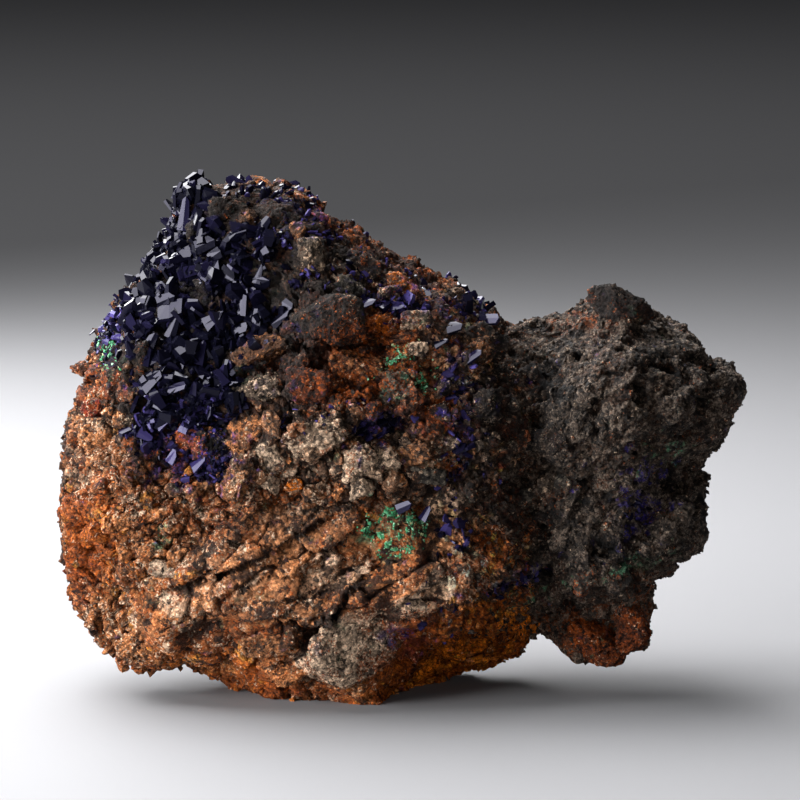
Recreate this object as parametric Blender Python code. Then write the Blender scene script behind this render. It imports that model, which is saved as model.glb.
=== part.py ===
"""Azurite and malachite on matrix: a hand specimen of ore, standing as it rests on a table.

The rock is two masses grown together, a pale iron-stained breccia on the left and a dark
gossan on the right. A crust of blue azurite blades lines the hollow at its upper left, and
smaller azurite clusters and green malachite crusts sit on the rock as pieces of their own.
X runs to the right, Y runs into the rock from its front face, and Z runs up. The origin is on
the flat spot that the rock rests on. Tables of shape are in millimetres.
"""

import math
from collections import namedtuple

import bmesh
import bpy
import numpy as np
from mathutils import Vector
from mathutils.bvhtree import BVHTree

MM = 0.001

# Driving sizes, in millimetres
MATRIX_TRIANGLES = 4100
SIDE_STEPS = 56
SEAT_GAP = 0.45
CLEARANCE = 0.35
BLADE_ROOT = 0.7

Mass = namedtuple("Mass", "centre front back middle squareness outline")
Form = namedtuple("Form", "x z wide high turn rise edge")
Plane = namedtuple("Plane", "normal distance keep")
Lobe = namedtuple("Lobe", "centre size")
Crust = namedtuple("Crust", "name mineral centre outline rings sectors thickness blades length lumps")

# Outlines as seen from the front, (x, z) from the right-hand side anticlockwise
PALE_ROCK = Mass(
    centre=(-15.0, 57.0),
    front=40.0,
    back=42.0,
    middle=0.0,
    squareness=2.5,
    outline=[
        (55.0, 38.0), (49.0, 55.0), (52.0, 68.0), (46.0, 83.0), (42.5, 91.0), (35.0, 98.0),
        (30.0, 100.5), (24.0, 101.0), (17.5, 105.3), (7.5, 111.7), (0.0, 117.5), (-6.5, 123.5), (-10.5, 126.0),
        (-17.0, 126.0), (-24.0, 128.0), (-31.5, 126.2), (-36.3, 125.0), (-37.5, 118.5),
        (-39.3, 111.0), (-44.5, 102.5), (-52.5, 95.5), (-56.0, 87.5), (-59.0, 80.0),
        (-61.0, 72.0), (-63.8, 64.5), (-67.5, 58.5), (-68.8, 49.0), (-69.4, 38.0),
        (-67.5, 28.0), (-63.5, 20.0), (-59.0, 13.0), (-53.5, 6.5), (-48.0, 4.0), (-35.0, 3.5),
        (-27.0, 2.0), (-15.0, -8.0), (0.0, -13.0), (14.0, -13.0), (22.0, -3.0), (30.0, 4.0),
        (41.0, 8.0), (49.0, 11.5), (53.0, 22.0),
    ],
)
DARK_ROCK = Mass(
    centre=(66.0, 58.0),
    front=27.0,
    back=32.0,
    middle=1.0,
    squareness=2.7,
    outline=[
        (103.2, 73.5), (101.5, 78.0), (95.5, 80.5), (92.5, 85.7), (88.0, 88.5), (80.5, 93.8),
        (76.2, 97.6), (70.5, 98.6), (65.5, 97.0), (63.5, 94.8), (54.0, 92.2), (47.5, 90.2),
        (38.0, 88.0), (31.0, 70.0), (29.0, 50.0), (34.0, 30.0), (42.0, 17.5), (50.0, 10.2),
        (55.5, 10.2), (58.7, 5.5), (62.0, 2.9), (67.0, 3.2), (70.0, 6.6), (73.0, 5.6),
        (76.5, 3.4), (80.5, 6.2), (80.3, 14.0), (79.3, 20.3), (80.2, 26.1), (84.5, 27.4),
        (86.0, 31.0), (93.3, 32.8), (93.5, 38.0), (92.0, 48.0), (92.6, 57.0), (99.5, 65.5),
    ],
)
OCHRE_FOOT = Lobe(centre=(-23.5, -22.0, 4.0), size=(5.0, 5.5, 5.5))

# Lumps and hollows of the front face: a positive rise stands out towards the viewer
PALE_FORMS = [
    Form(-22.5, 110.0, 26.0, 22.0, 0, -8.0, 1),
    Form(-28.0, 97.0, 15.0, 25.0, 10, -5.5, 2),
    Form(-32.0, 60.0, 11.0, 10.0, 0, -2.0, 1),
    Form(-0.5, 95.9, 8.5, 7.5, 0, 4.8, 3),
    Form(2.5, 81.0, 10.0, 7.0, 0, 3.2, 3),
    Form(-3.0, 67.6, 9.0, 5.0, 30, 3.6, 3),
    Form(-20.0, 56.3, 6.0, 6.5, 0, 2.6, 4),
    Form(7.5, 59.8, 5.0, 4.5, 20, 2.6, 3),
    Form(16.0, 58.5, 9.0, 5.0, -15, 2.2, 2),
    Form(-7.5, 30.2, 32.0, 20.0, 10, 4.5, 1),
    Form(6.75, 8.8, 11.0, 11.0, 0, 5.0, 4),
    Form(-43.0, 18.0, 9.0, 9.0, 0, 3.2, 2),
    Form(-27.0, 28.5, 8.0, 4.0, 10, 2.6, 3),
    Form(20.0, 29.0, 21.0, 8.0, 18, 4.0, 3),
    Form(33.0, 9.5, 19.0, 8.0, 20, -14.0, 2),
    Form(12.0, 69.6, 7.0, 5.0, 0, -4.8, 2),
    Form(2.5, 112.0, 5.0, 4.0, 0, -5.0, 2),
    Form(-4.0, 110.0, 4.5, 4.5, 0, 3.0, 2),
    Form(-52.0, 66.0, 8.0, 6.0, 0, 2.2, 2),
    Form(17.5, 43.4, 9.0, 5.5, 0, 2.0, 2),
    Form(17.5, 98.0, 12.0, 5.0, -35, 2.2, 1),
]
DARK_FORMS = [
    Form(77.5, 77.7, 24.0, 14.0, 25, 6.5, 2),
    Form(72.0, 98.4, 8.0, 6.0, 0, 2.0, 2),
    Form(50.5, 73.9, 7.0, 24.0, -5, -9.0, 1),
    Form(53.7, 56.2, 6.0, 5.0, 0, -10.0, 2),
    Form(48.7, 87.3, 5.0, 4.0, 0, -5.0, 2),
    Form(84.0, 51.0, 6.0, 14.0, -35, -7.0, 2),
    Form(72.0, 35.0, 18.0, 7.0, 20, 3.0, 2),
    Form(70.0, 14.5, 24.0, 10.0, 0, -10.0, 3),
    Form(62.0, 11.0, 7.0, 7.0, 0, 6.0, 2),
    Form(77.0, 14.0, 6.0, 8.0, 0, 6.0, 2),
    Form(64.5, 33.0, 5.0, 4.0, 0, 2.6, 2),
    Form(57.0, 60.5, 3.5, 3.5, 0, 3.0, 2),
]

# Broken faces of the sides and back, as outward normals with how much of the rock past them stays
PALE_BREAKS = [
    Plane((-0.75, 0.62, 0.22), 54.0, 0.15),
    Plane((0.10, 0.86, 0.50), 50.0, 0.12),
    Plane((0.30, 0.90, -0.30), 36.0, 0.15),
    Plane((-0.20, 0.70, -0.68), 34.0, 0.20),
    Plane((0.55, 0.45, 0.70), 62.0, 0.20),
]
DARK_BREAKS = [
    Plane((0.60, 0.78, 0.15), 26.0, 0.15),
    Plane((-0.15, 0.85, 0.50), 26.0, 0.15),
    Plane((0.20, 0.72, -0.66), 27.0, 0.20),
]

# Cracks of the front face between its bedded plates, as (x, z) along each, its width and its depth
CRACKS = [
    ([(-34.0, 31.5), (-28.5, 33.0), (-22.0, 35.6), (-12.5, 40.0), (-4.5, 44.8), (-1.5, 46.8)], 1.5, 3.0),
    ([(-6.5, 34.8), (-2.0, 37.3), (3.0, 40.8)], 0.9, 2.0),
    ([(1.0, 21.2), (2.0, 24.0), (4.5, 28.3), (9.0, 33.8)], 1.4, 3.4),
    ([(-10.0, 28.2), (-4.0, 26.5), (1.0, 23.8)], 0.8, 1.8),
    ([(-5.0, 18.8), (1.0, 20.9), (5.0, 18.4), (10.0, 17.4), (15.5, 18.2)], 2.0, 4.2),
    ([(-18.0, 18.4), (-12.0, 20.4), (-9.0, 22.0)], 1.0, 2.2),
    ([(-19.5, 12.6), (-11.0, 13.1), (-6.5, 15.4), (-5.0, 18.6)], 1.2, 2.6),
    ([(-24.0, 61.5), (-17.5, 61.5)], 1.2, 2.4),
    ([(-8.0, 89.0), (0.0, 88.2), (9.0, 89.0)], 1.4, 3.0),
]

# Azurite and malachite crusts as seen from the front: where each lies, its outline as (x, z), the
# grid that it is made on, and its blades or the height of its round lumps
POCKET_OUTLINE = [
    (-36.5, 124.5), (-31.5, 123.5), (-27.0, 118.0), (-20.0, 114.5), (-14.0, 113.0),
    (-8.0, 106.0), (-7.5, 99.0), (-13.0, 92.5), (-16.0, 87.0), (-21.0, 82.0), (-20.0, 75.0),
    (-25.0, 69.0), (-23.5, 62.0), (-31.0, 56.5), (-37.0, 60.5), (-46.0, 62.5), (-49.0, 70.0),
    (-45.0, 78.0), (-50.0, 86.0), (-48.5, 92.0), (-51.0, 97.0), (-45.5, 104.0), (-41.5, 112.0),
]


def oval(centre, wide, high, turn=0.0):
    """Sixteen points around an oval whose edge wanders in and out, as an outline."""
    angles = [math.tau * n / 16 for n in range(16)]
    cos, sin = math.cos(math.radians(turn)), math.sin(math.radians(turn))
    waves = [1 + 0.16 * math.sin(3 * a + wide) + 0.12 * math.sin(5 * a + 3 * high) for a in angles]
    corners = [(w * wide * math.cos(a), w * high * math.sin(a)) for w, a in zip(waves, angles)]
    return [(centre[0] + u * cos - v * sin, centre[1] + u * sin + v * cos) for u, v in corners]


CRUSTS = [
    Crust("azurite_pocket", "azurite", (-31.0, 90.0), POCKET_OUTLINE, 5, 24, 1.4, 40, 8.8, 0),
    Crust("azurite_ridge", "azurite", (36.0, 94.0), oval((36.0, 94.0), 6.2, 4.2, -30), 2, 10, 1.1, 6, 6.0, 0),
    Crust("azurite_upper_seam", "azurite", (17.0, 98.0), oval((17.0, 98.0), 8.0, 2.6, -12), 2, 12, 1.0, 7, 4.0, 0),
    Crust("azurite_middle", "azurite", (11.0, 69.8), oval((11.0, 69.8), 6.5, 3.8), 2, 10, 1.0, 7, 4.5, 0),
    Crust("azurite_right_seam", "azurite", (30.0, 77.5), oval((30.0, 77.5), 2.8, 4.4, 15), 2, 8, 1.0, 4, 4.5, 0),
    Crust("azurite_shelf", "azurite", (30.4, 42.0), oval((30.4, 42.0), 4.8, 6.0), 2, 10, 1.1, 7, 6.5, 0),
    Crust("malachite_knob", "malachite", (15.6, 43.8), oval((15.6, 43.8), 7.0, 5.2), 5, 16, 0.9, 0, 0, 1.6),
    Crust("malachite_patch", "malachite", (19.4, 83.5), oval((19.4, 83.5), 5.4, 5.4), 4, 14, 0.8, 0, 0, 1.3),
    Crust("malachite_left_edge", "malachite", (-54.8, 84.0), oval((-54.8, 84.0), 2.8, 6.5, 20), 3, 12, 0.8, 0, 0, 1.0),
]
COLOURS = {
    "azurite": ((0.015, 0.018, 0.13), 0.2),
    "malachite": ((0.03, 0.26, 0.15), 0.7),
}


def hashed(cell, seed):
    """A repeatable random number from 0 to 1 for each whole-numbered lattice point."""
    i, j, k = (cell[..., n].astype(np.int64).astype(np.uint64) for n in range(3))
    h = i * np.uint64(374761393) + j * np.uint64(668265263) + k * np.uint64(1440662683)
    h = (h + np.uint64(seed * 974711)) & np.uint64(0xFFFFFFFF)
    h = ((h ^ (h >> np.uint64(13))) * np.uint64(1274126177)) & np.uint64(0xFFFFFFFF)
    h = ((h ^ (h >> np.uint64(16))) * np.uint64(2246822519)) & np.uint64(0xFFFFFFFF)
    return ((h ^ (h >> np.uint64(15))) & np.uint64(0xFFFFFF)).astype(float) / 0xFFFFFF


def noise(points, size, seed):
    """Smooth noise from -1 to 1: random values on a lattice of the given size, eased between."""
    scaled = points / size
    low = np.floor(scaled)
    part = scaled - low
    ease = part * part * (3 - 2 * part)
    total = np.zeros(len(points))
    for corner in np.ndindex(2, 2, 2):
        weight = np.prod(np.where(np.array(corner) == 1, ease, 1 - ease), axis=1)
        total += weight * hashed(low + corner, seed)
    return 2 * total - 1


def cells(points, size, seed):
    """Distance to the nearest of a jittered lattice of seeds, and to the next, in units of size."""
    scaled = points / size
    low = np.floor(scaled)
    nearest = np.full(len(points), 9.0)
    second = np.full(len(points), 9.0)
    for step in np.ndindex(3, 3, 3):
        corner = low + np.array(step) - 1
        seed_point = corner + np.stack([hashed(corner, seed + n) for n in range(3)], axis=1)
        reach = np.linalg.norm(scaled - seed_point, axis=1)
        second = np.minimum(second, np.maximum(reach, nearest))
        nearest = np.minimum(nearest, reach)
    return nearest, second


def cube_sphere(steps):
    """Unit directions and quads of a cube's six gridded sides, blown up to a sphere and joined."""
    line = np.tan(np.linspace(-math.pi / 4, math.pi / 4, steps + 1))
    u, v = np.meshgrid(line, line, indexing="ij")
    one = np.ones_like(u)
    sides = [(one, u, v), (-one, v, u), (v, one, u), (u, -one, v), (u, v, one), (v, u, -one)]
    points = np.concatenate([np.stack(side, axis=-1).reshape(-1, 3) for side in sides])
    points /= np.linalg.norm(points, axis=1)[:, None]
    index = np.arange(points.shape[0]).reshape(6, steps + 1, steps + 1)
    quads = np.stack(
        [index[:, :-1, :-1], index[:, 1:, :-1], index[:, 1:, 1:], index[:, :-1, 1:]], axis=-1
    )
    keys = np.round(points, 6) + 0.0
    _, first, joined = np.unique(keys, axis=0, return_index=True, return_inverse=True)
    return points[first], joined.reshape(-1)[quads.reshape(-1, 4)]


def reach_of(outline, centre, angle):
    """How far the outline lies from its centre in the direction of each angle."""
    offsets = np.array(outline) - centre
    turns = np.arctan2(offsets[:, 1], offsets[:, 0])
    order = np.argsort(turns)
    reaches = np.hypot(offsets[:, 0], offsets[:, 1])
    return np.interp(angle, turns[order], reaches[order], period=math.tau)


def mass_points(directions, mass):
    """Each direction carried out to the mass: the outline's reach in X and Z and the front or
    back depth along Y, joined by a superellipse of the mass's squareness."""
    angle = np.arctan2(directions[:, 2], directions[:, 0])
    reach = reach_of(mass.outline, mass.centre, angle)
    across = np.hypot(directions[:, 0], directions[:, 2])
    deep = np.abs(directions[:, 1])
    power = mass.squareness
    grown = (across**power + deep**power) ** (-1 / power)
    depth = np.where(directions[:, 1] < 0, -mass.front, mass.back)
    return np.stack(
        [
            mass.centre[0] + reach * across * grown * np.cos(angle),
            mass.middle + depth * deep * grown,
            mass.centre[1] + reach * across * grown * np.sin(angle),
        ],
        axis=1,
    )


def add_forms(points, directions, forms):
    """Raises or sinks the front face by each form: rise * exp(-(distance / radius) ** (2 edge))."""
    facing = np.clip(-2.2 * directions[:, 1], 0, 1)
    for form in forms:
        turn = math.radians(form.turn)
        dx, dz = points[:, 0] - form.x, points[:, 2] - form.z
        along = (dx * math.cos(turn) + dz * math.sin(turn)) / form.wide
        over = (dz * math.cos(turn) - dx * math.sin(turn)) / form.high
        share = np.exp(-((along**2 + over**2) ** form.edge))
        points[:, 1] -= form.rise * share * facing


def break_off(points, planes, centre):
    """Cuts the rock back to flat broken faces, leaving only a share of what stood past each."""
    for plane in planes:
        normal = np.array(plane.normal) / np.linalg.norm(plane.normal)
        past = (points - centre) @ normal - plane.distance
        points -= np.outer(np.maximum(past, 0) * (1 - plane.keep), normal)


def step_plates(points, directions):
    """Raises the plate above each crack and lowers the one below it, with a fall-off away from
    the crack, so that the plates overlap like shingles."""
    facing = np.clip(-2.2 * directions[:, 1], 0, 1)
    for path, width, _ in CRACKS:
        line = np.array(path)
        away = np.full(len(points), 1e3)
        side = np.zeros(len(points))
        for start, end in zip(line[:-1], line[1:]):
            run = end - start
            offset = points[:, [0, 2]] - start
            along = np.clip(offset @ run / (run @ run), 0, 1)
            gap = offset - np.outer(along, run)
            distance = np.hypot(gap[:, 0], gap[:, 1])
            nearer = distance < away
            away = np.where(nearer, distance, away)
            side = np.where(nearer, np.sign(run[0] * gap[:, 1] - run[1] * gap[:, 0]), side)
        points[:, 1] -= 0.9 * width * side * np.exp(-away / 3.5) * facing


def roughen(points, mass, seed):
    """Warps the rock by noise in three directions and raises round lumps over jittered cells:
    lump = height * (1 - 1.3 * distance ** 2), which leaves a crease where two lumps meet."""
    for size, amount in ((17.0, 1.6), (8.0, 0.7)):
        shift = np.stack([noise(points, size, seed + 11 * n) for n in range(3)], axis=1)
        points += amount * shift
    centre = np.array([mass.centre[0], mass.middle, mass.centre[1]])
    outward = (points - centre) / np.array([60.0, 40.0, 60.0]) ** 2
    outward /= np.linalg.norm(outward, axis=1)[:, None]
    for size, height in ((13.0, 3.2), (6.5, 2.0)):
        nearest, _ = cells(points, size, seed + 5)
        points += outward * (height * (0.3 - 1.3 * nearest**2))[:, None]


def rock_points(directions, mass, forms, planes, seed):
    """The rock's surface in millimetres, for unit directions from inside it."""
    points = mass_points(directions, mass)
    add_forms(points, directions, forms)
    step_plates(points, directions)
    break_off(points, planes, np.array([mass.centre[0], mass.middle, mass.centre[1]]))
    roughen(points, mass, seed)
    return points


def material(name, colour, roughness):
    """A plain Principled finish in the part's main colour."""
    made = bpy.data.materials.new(name)
    made.use_nodes = True
    shader = made.node_tree.nodes["Principled BSDF"]
    shader.inputs["Base Color"].default_value = (*colour, 1)
    shader.inputs["Roughness"].default_value = roughness
    return made


def mesh_object(name, points, faces):
    """An object from points in millimetres and faces."""
    mesh = bpy.data.meshes.new(name)
    mesh.from_pydata([tuple(p) for p in np.asarray(points) * MM], [], [tuple(f) for f in faces])
    mesh.update()
    made = bpy.data.objects.new(name, mesh)
    bpy.context.scene.collection.objects.link(made)
    return made


def bake(target):
    """Replaces the object's mesh by what its modifiers make of it."""
    graph = bpy.context.evaluated_depsgraph_get()
    mesh = bpy.data.meshes.new_from_object(target.evaluated_get(graph))
    target.modifiers.clear()
    target.data = mesh


def boolean(target, other, operation):
    """Joins or cuts the target with the other object, which is then removed."""
    step = target.modifiers.new(operation.lower(), "BOOLEAN")
    step.operation = operation
    step.object = other
    step.solver = "EXACT"
    bake(target)
    bpy.data.objects.remove(other)


def keep_largest(target):
    """Drops every body of the mesh but the one with the most faces."""
    mesh = bmesh.new()
    mesh.from_mesh(target.data)
    left = set(mesh.verts)
    bodies = []
    while left:
        body, edge = set(), {left.pop()}
        while edge:
            body |= edge
            edge = {e.other_vert(v) for v in edge for e in v.link_edges} - body
        left -= body
        bodies.append(body)
    largest = max(bodies, key=len)
    small = [v for body in bodies if body is not largest for v in body]
    bmesh.ops.delete(mesh, geom=small, context="VERTS")
    mesh.to_mesh(target.data)
    mesh.free()


def triangulate(target):
    mesh = bmesh.new()
    mesh.from_mesh(target.data)
    bmesh.ops.triangulate(mesh, faces=mesh.faces)
    mesh.to_mesh(target.data)
    mesh.free()


def front_depth(tree, x, z):
    """Where a line of sight along +Y meets the rock, in millimetres, or not a number."""
    place = tree.ray_cast(Vector((x, -200, z)) * MM, Vector((0, 1, 0)))[0]
    return math.nan if place is None else place.y / MM


def crack_cutter(tree, path, width, depth):
    """A wedge that follows the crack: wide outside the face, narrow at its depth inside it."""
    line = np.array(path)
    heading = np.gradient(line, axis=0)
    heading /= np.linalg.norm(heading, axis=1)[:, None]
    aside = np.stack([-heading[:, 1], heading[:, 0]], axis=1)
    line[0] -= heading[0]
    line[-1] += heading[-1]
    rings = []
    for (x, z), (ax, az) in zip(line, aside):
        face = front_depth(tree, x, z)
        for side, half, y in ((-1, 2.2, -4.0), (1, 2.2, -4.0), (1, 0.3, depth), (-1, 0.3, depth)):
            shift = side * half * width / 2
            rings.append((x + ax * shift, face + y, z + az * shift))
    last = len(line) - 1
    faces = [(0, 1, 2, 3), tuple(4 * last + n for n in (3, 2, 1, 0))]
    for ring in range(last):
        for n in range(4):
            a, b = 4 * ring + n, 4 * ring + (n + 1) % 4
            faces.append((b, a, a + 4, b + 4))
    cutter = mesh_object("crack", rings, faces)
    face_outward(cutter)
    return cutter


def matrix_rock():
    """Both rock masses and the ochre foot as one solid, cracked and cut off level where it rests."""
    directions, quads = cube_sphere(SIDE_STEPS)
    rock = mesh_object("matrix", rock_points(directions, PALE_ROCK, PALE_FORMS, PALE_BREAKS, 3), quads)
    dark = mesh_object("dark", rock_points(directions, DARK_ROCK, DARK_FORMS, DARK_BREAKS, 40), quads)
    boolean(rock, dark, "UNION")
    few, foot_quads = cube_sphere(5)
    foot = mesh_object("foot", few * OCHRE_FOOT.size + OCHRE_FOOT.centre, foot_quads)
    boolean(rock, foot, "UNION")
    keep_largest(rock)
    triangulate(rock)
    fewer = rock.modifiers.new("fewer faces", "DECIMATE")
    fewer.ratio = MATRIX_TRIANGLES / len(rock.data.polygons)
    bake(rock)
    for path, width, depth in CRACKS:
        tree = BVHTree.FromObject(rock, bpy.context.evaluated_depsgraph_get())
        boolean(rock, crack_cutter(tree, path, width, depth), "DIFFERENCE")
    below = [(x, y, z) for x in (-150, 150) for y in (-150, 150) for z in (-60, 0)]
    sides = [(0, 1, 3, 2), (4, 6, 7, 5), (0, 4, 5, 1), (2, 3, 7, 6), (0, 2, 6, 4), (1, 5, 7, 3)]
    boolean(rock, mesh_object("table", below, sides), "DIFFERENCE")
    keep_largest(rock)
    return rock


def nearest_below(values, reach_in, reach_around):
    """The smallest value within a window around each place of a grid that closes on itself."""
    least = values.copy()
    for inward in range(-reach_in, reach_in + 1):
        rows = np.clip(np.arange(len(values)) + inward, 0, len(values) - 1)
        for around in range(-reach_around, reach_around + 1):
            least = np.fmin(least, np.roll(values[rows], around, axis=1))
    return least


def crust_sheet(tree, crust):
    """The crust without blades: a closed sheet that lies just in front of the rock's face, on
    rings and sectors about its centre, thinner at its rim."""
    fine = 3
    share, angle = np.meshgrid(
        np.linspace(0, 1, fine * crust.rings + 1),
        np.linspace(-math.pi, math.pi, fine * crust.sectors, endpoint=False),
        indexing="ij",
    )
    reach = reach_of(crust.outline, crust.centre, angle) * share
    x = crust.centre[0] + reach * np.cos(angle)
    z = crust.centre[1] + reach * np.sin(angle)
    depth = np.array([front_depth(tree, a, b) for a, b in zip(x.flat, z.flat)]).reshape(x.shape)
    for ring in range(1, len(depth)):
        missed = np.isnan(depth[ring])
        depth[ring][missed] = depth[ring - 1][missed]
    clear = nearest_below(depth, fine, fine)[::fine, ::fine] - SEAT_GAP
    clear[0] = clear[0].min()
    x, z = x[::fine, ::fine], z[::fine, ::fine]
    rim = np.linspace(1, 0, crust.rings + 1)[:, None]
    thick = crust.thickness * (0.45 + 0.55 * np.minimum(1, 3 * rim))
    if crust.lumps:
        flat = np.stack([x, 0 * x, z], axis=-1).reshape(-1, 3)
        nearest = cells(flat, 2.8, 77)[0].reshape(x.shape)
        thick = thick + crust.lumps * np.clip(1 - 1.6 * nearest**2, 0, 1) * np.minimum(1, 2.5 * rim)
    layers = []
    for y in (clear, clear - thick):
        grid = np.stack([x, y, z], axis=-1)
        layers += [grid[0, :1], grid[1:].reshape(-1, 3)]
    points = np.concatenate(layers)
    count = 1 + crust.rings * crust.sectors
    faces = []
    for k in range(crust.sectors):
        after = (k + 1) % crust.sectors
        faces.append((0, 1 + k, 1 + after))
        faces.append((count, count + 1 + after, count + 1 + k))
        for ring in range(crust.rings - 1):
            inner, outer = 1 + ring * crust.sectors, 1 + (ring + 1) * crust.sectors
            faces.append((inner + k, outer + k, outer + after, inner + after))
            faces.append((count + inner + after, count + outer + after, count + outer + k, count + inner + k))
        rim_start = 1 + (crust.rings - 1) * crust.sectors
        faces.append((rim_start + k, count + rim_start + k, count + rim_start + after, rim_start + after))
    sheet = mesh_object(crust.name, points, faces)
    face_outward(sheet)
    triangulate(sheet)
    return sheet


def blade_points(root, along, across, length, width, thickness, slant):
    """A flat six-sided prism that ends in a chisel edge: twelve points, the root ring first."""
    half, flat, ridge = width / 2, thickness / 2 * 0.75, thickness / 2
    section = [(-half, -flat), (0, -ridge), (half, -flat), (half, flat), (0, ridge), (-half, flat)]
    through = np.cross(along, across)
    rings = []
    for end in (0, 1):
        for u, v in section:
            height = end * (length - (slant[0] if u < 0 else slant[1]) * abs(u))
            narrow = 1 - 0.12 * end
            rings.append(root + along * height + across * (u * narrow) + through * (v * narrow))
    return np.array(rings)


BLADE_FACES = [(5, 4, 3, 2, 1, 0), (6, 7, 10, 11), (7, 8, 9, 10)]
BLADE_FACES += [(n, (n + 1) % 6, 6 + (n + 1) % 6, 6 + n) for n in range(6)]


def grow_blades(sheet, rock_tree, crust):
    """Roots blades over the crust in a sunflower pattern, each clear of the rock, and joins them."""
    random = np.random.RandomState(len(crust.name) + crust.blades)
    for n in range(crust.blades):
        angle = (n * 2.39996 + math.pi) % math.tau - math.pi
        share = 0.9 * math.sqrt((n + 0.5) / crust.blades)
        reach = share * reach_of(crust.outline, crust.centre, angle)
        x = crust.centre[0] + reach * math.cos(angle)
        z = crust.centre[1] + reach * math.sin(angle)
        tilt, twist, size = random.uniform(-1, 1, 3), random.uniform(-1, 1, 3), random.uniform(0.6, 1.0)
        slant = random.uniform(0.25, 1.1, 2)
        tree = BVHTree.FromObject(sheet, bpy.context.evaluated_depsgraph_get())
        root = np.array([x, front_depth(tree, x, z) + BLADE_ROOT, z])
        along = np.array([0.9 * tilt[0], -1.0, 0.25 + 0.8 * tilt[2]])
        along /= np.linalg.norm(along)
        across = np.cross(along, twist)
        across /= np.linalg.norm(across)
        length = size * crust.length
        points = blade_points(root, along, across, length, 0.62 * length, 0.24 * length, slant)
        points[:, 1] -= max(0.0, lift_needed(rock_tree, points))
        blade = mesh_object("blade", points, BLADE_FACES)
        face_outward(blade)
        boolean(sheet, blade, "UNION")
    keep_largest(sheet)
    flat = sheet.modifiers.new("flat faces", "DECIMATE")
    flat.decimate_type = "DISSOLVE"
    flat.angle_limit = math.radians(3)
    bake(sheet)
    triangulate(sheet)


def lift_needed(tree, points):
    """How far the points have to come forwards to clear the rock, in millimetres."""
    least = CLEARANCE
    edges = [(n, n + 6) for n in range(6)] + [(n, (n + 1) % 6) for n in range(6)]
    samples = [points[a] + (points[b] - points[a]) * t for a, b in edges for t in (0, 0.25, 0.5, 0.75, 1)]
    for sample in samples:
        place, normal, _, _ = tree.find_nearest(Vector(sample * MM))
        least = min(least, (Vector(sample * MM) - place).dot(normal) / MM)
    return 1.3 * (CLEARANCE - least)


def face_outward(target):
    """Turns every face to point out of the body."""
    mesh = bmesh.new()
    mesh.from_mesh(target.data)
    bmesh.ops.recalc_face_normals(mesh, faces=mesh.faces)
    mesh.to_mesh(target.data)
    mesh.free()


def main():
    for old in list(bpy.data.objects):
        bpy.data.objects.remove(old)
    rock = matrix_rock()
    rock.data.materials.clear()
    rock.data.materials.append(material("matrix", (0.30, 0.19, 0.12), 0.9))
    rock_tree = BVHTree.FromObject(rock, bpy.context.evaluated_depsgraph_get())
    for crust in CRUSTS:
        sheet = crust_sheet(rock_tree, crust)
        if crust.blades:
            grow_blades(sheet, rock_tree, crust)
        sheet.data.materials.clear()
        sheet.data.materials.append(material(crust.name, *COLOURS[crust.mineral]))


main()
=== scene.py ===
# %% [markdown]
# # Azurite and malachite on matrix
#
# A hand specimen of ore stands on a pale table. Dark blue azurite blades line a hollow at its
# upper left, small green malachite crusts sit beside them, and the rock itself changes from a
# pale, rust-stained breccia on the left to a near-black gossan on the right.
#
# Nothing here is sculpted by hand. Each surface is a function worked out with numpy: a few
# dozen named lumps, hollows and cracks give the large form, and lattice noise and jittered
# cells give the grain. The frame comes first, because every piece has to fit it.

# %% The frame
import math
from collections import namedtuple

import bpy
import numpy as np
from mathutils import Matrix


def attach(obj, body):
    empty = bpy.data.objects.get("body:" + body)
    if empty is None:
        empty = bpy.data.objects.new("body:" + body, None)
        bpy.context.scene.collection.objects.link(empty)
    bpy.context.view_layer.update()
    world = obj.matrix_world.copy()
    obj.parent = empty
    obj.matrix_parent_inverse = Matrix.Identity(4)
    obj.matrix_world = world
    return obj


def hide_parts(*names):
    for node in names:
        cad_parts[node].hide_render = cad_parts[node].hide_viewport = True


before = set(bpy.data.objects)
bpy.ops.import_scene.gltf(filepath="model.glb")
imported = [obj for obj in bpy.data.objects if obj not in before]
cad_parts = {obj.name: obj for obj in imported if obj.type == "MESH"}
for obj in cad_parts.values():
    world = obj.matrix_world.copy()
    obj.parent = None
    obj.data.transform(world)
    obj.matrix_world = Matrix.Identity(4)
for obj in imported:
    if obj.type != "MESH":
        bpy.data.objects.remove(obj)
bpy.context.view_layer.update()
MM = 0.001

# %% [markdown]
# ## Numbers that look random
#
# Rock needs two kinds of disorder. Smooth noise bends and blurs, and jittered cells crack a
# surface into grains, because each point belongs to the nearest of many scattered seeds. Both
# start from a hash, which turns the whole-numbered corners of a lattice into repeatable
# numbers, so that the specimen is the same on every run.

# %% Hash, noise and cells


def hashed(cell, seed):
    """A repeatable number from 0 to 1 for each lattice corner: the whole coordinates are
    multiplied by large primes, summed, and their bits mixed twice."""
    i, j, k = (cell[..., n].astype(np.int64).astype(np.uint64) for n in range(3))
    h = i * np.uint64(374761393) + j * np.uint64(668265263) + k * np.uint64(1440662683)
    h = (h + np.uint64(seed * 974711)) & np.uint64(0xFFFFFFFF)
    h = ((h ^ (h >> np.uint64(13))) * np.uint64(1274126177)) & np.uint64(0xFFFFFFFF)
    h = ((h ^ (h >> np.uint64(16))) * np.uint64(2246822519)) & np.uint64(0xFFFFFFFF)
    return ((h ^ (h >> np.uint64(15))) & np.uint64(0xFFFFFF)).astype(float) / 0xFFFFFF


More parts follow.
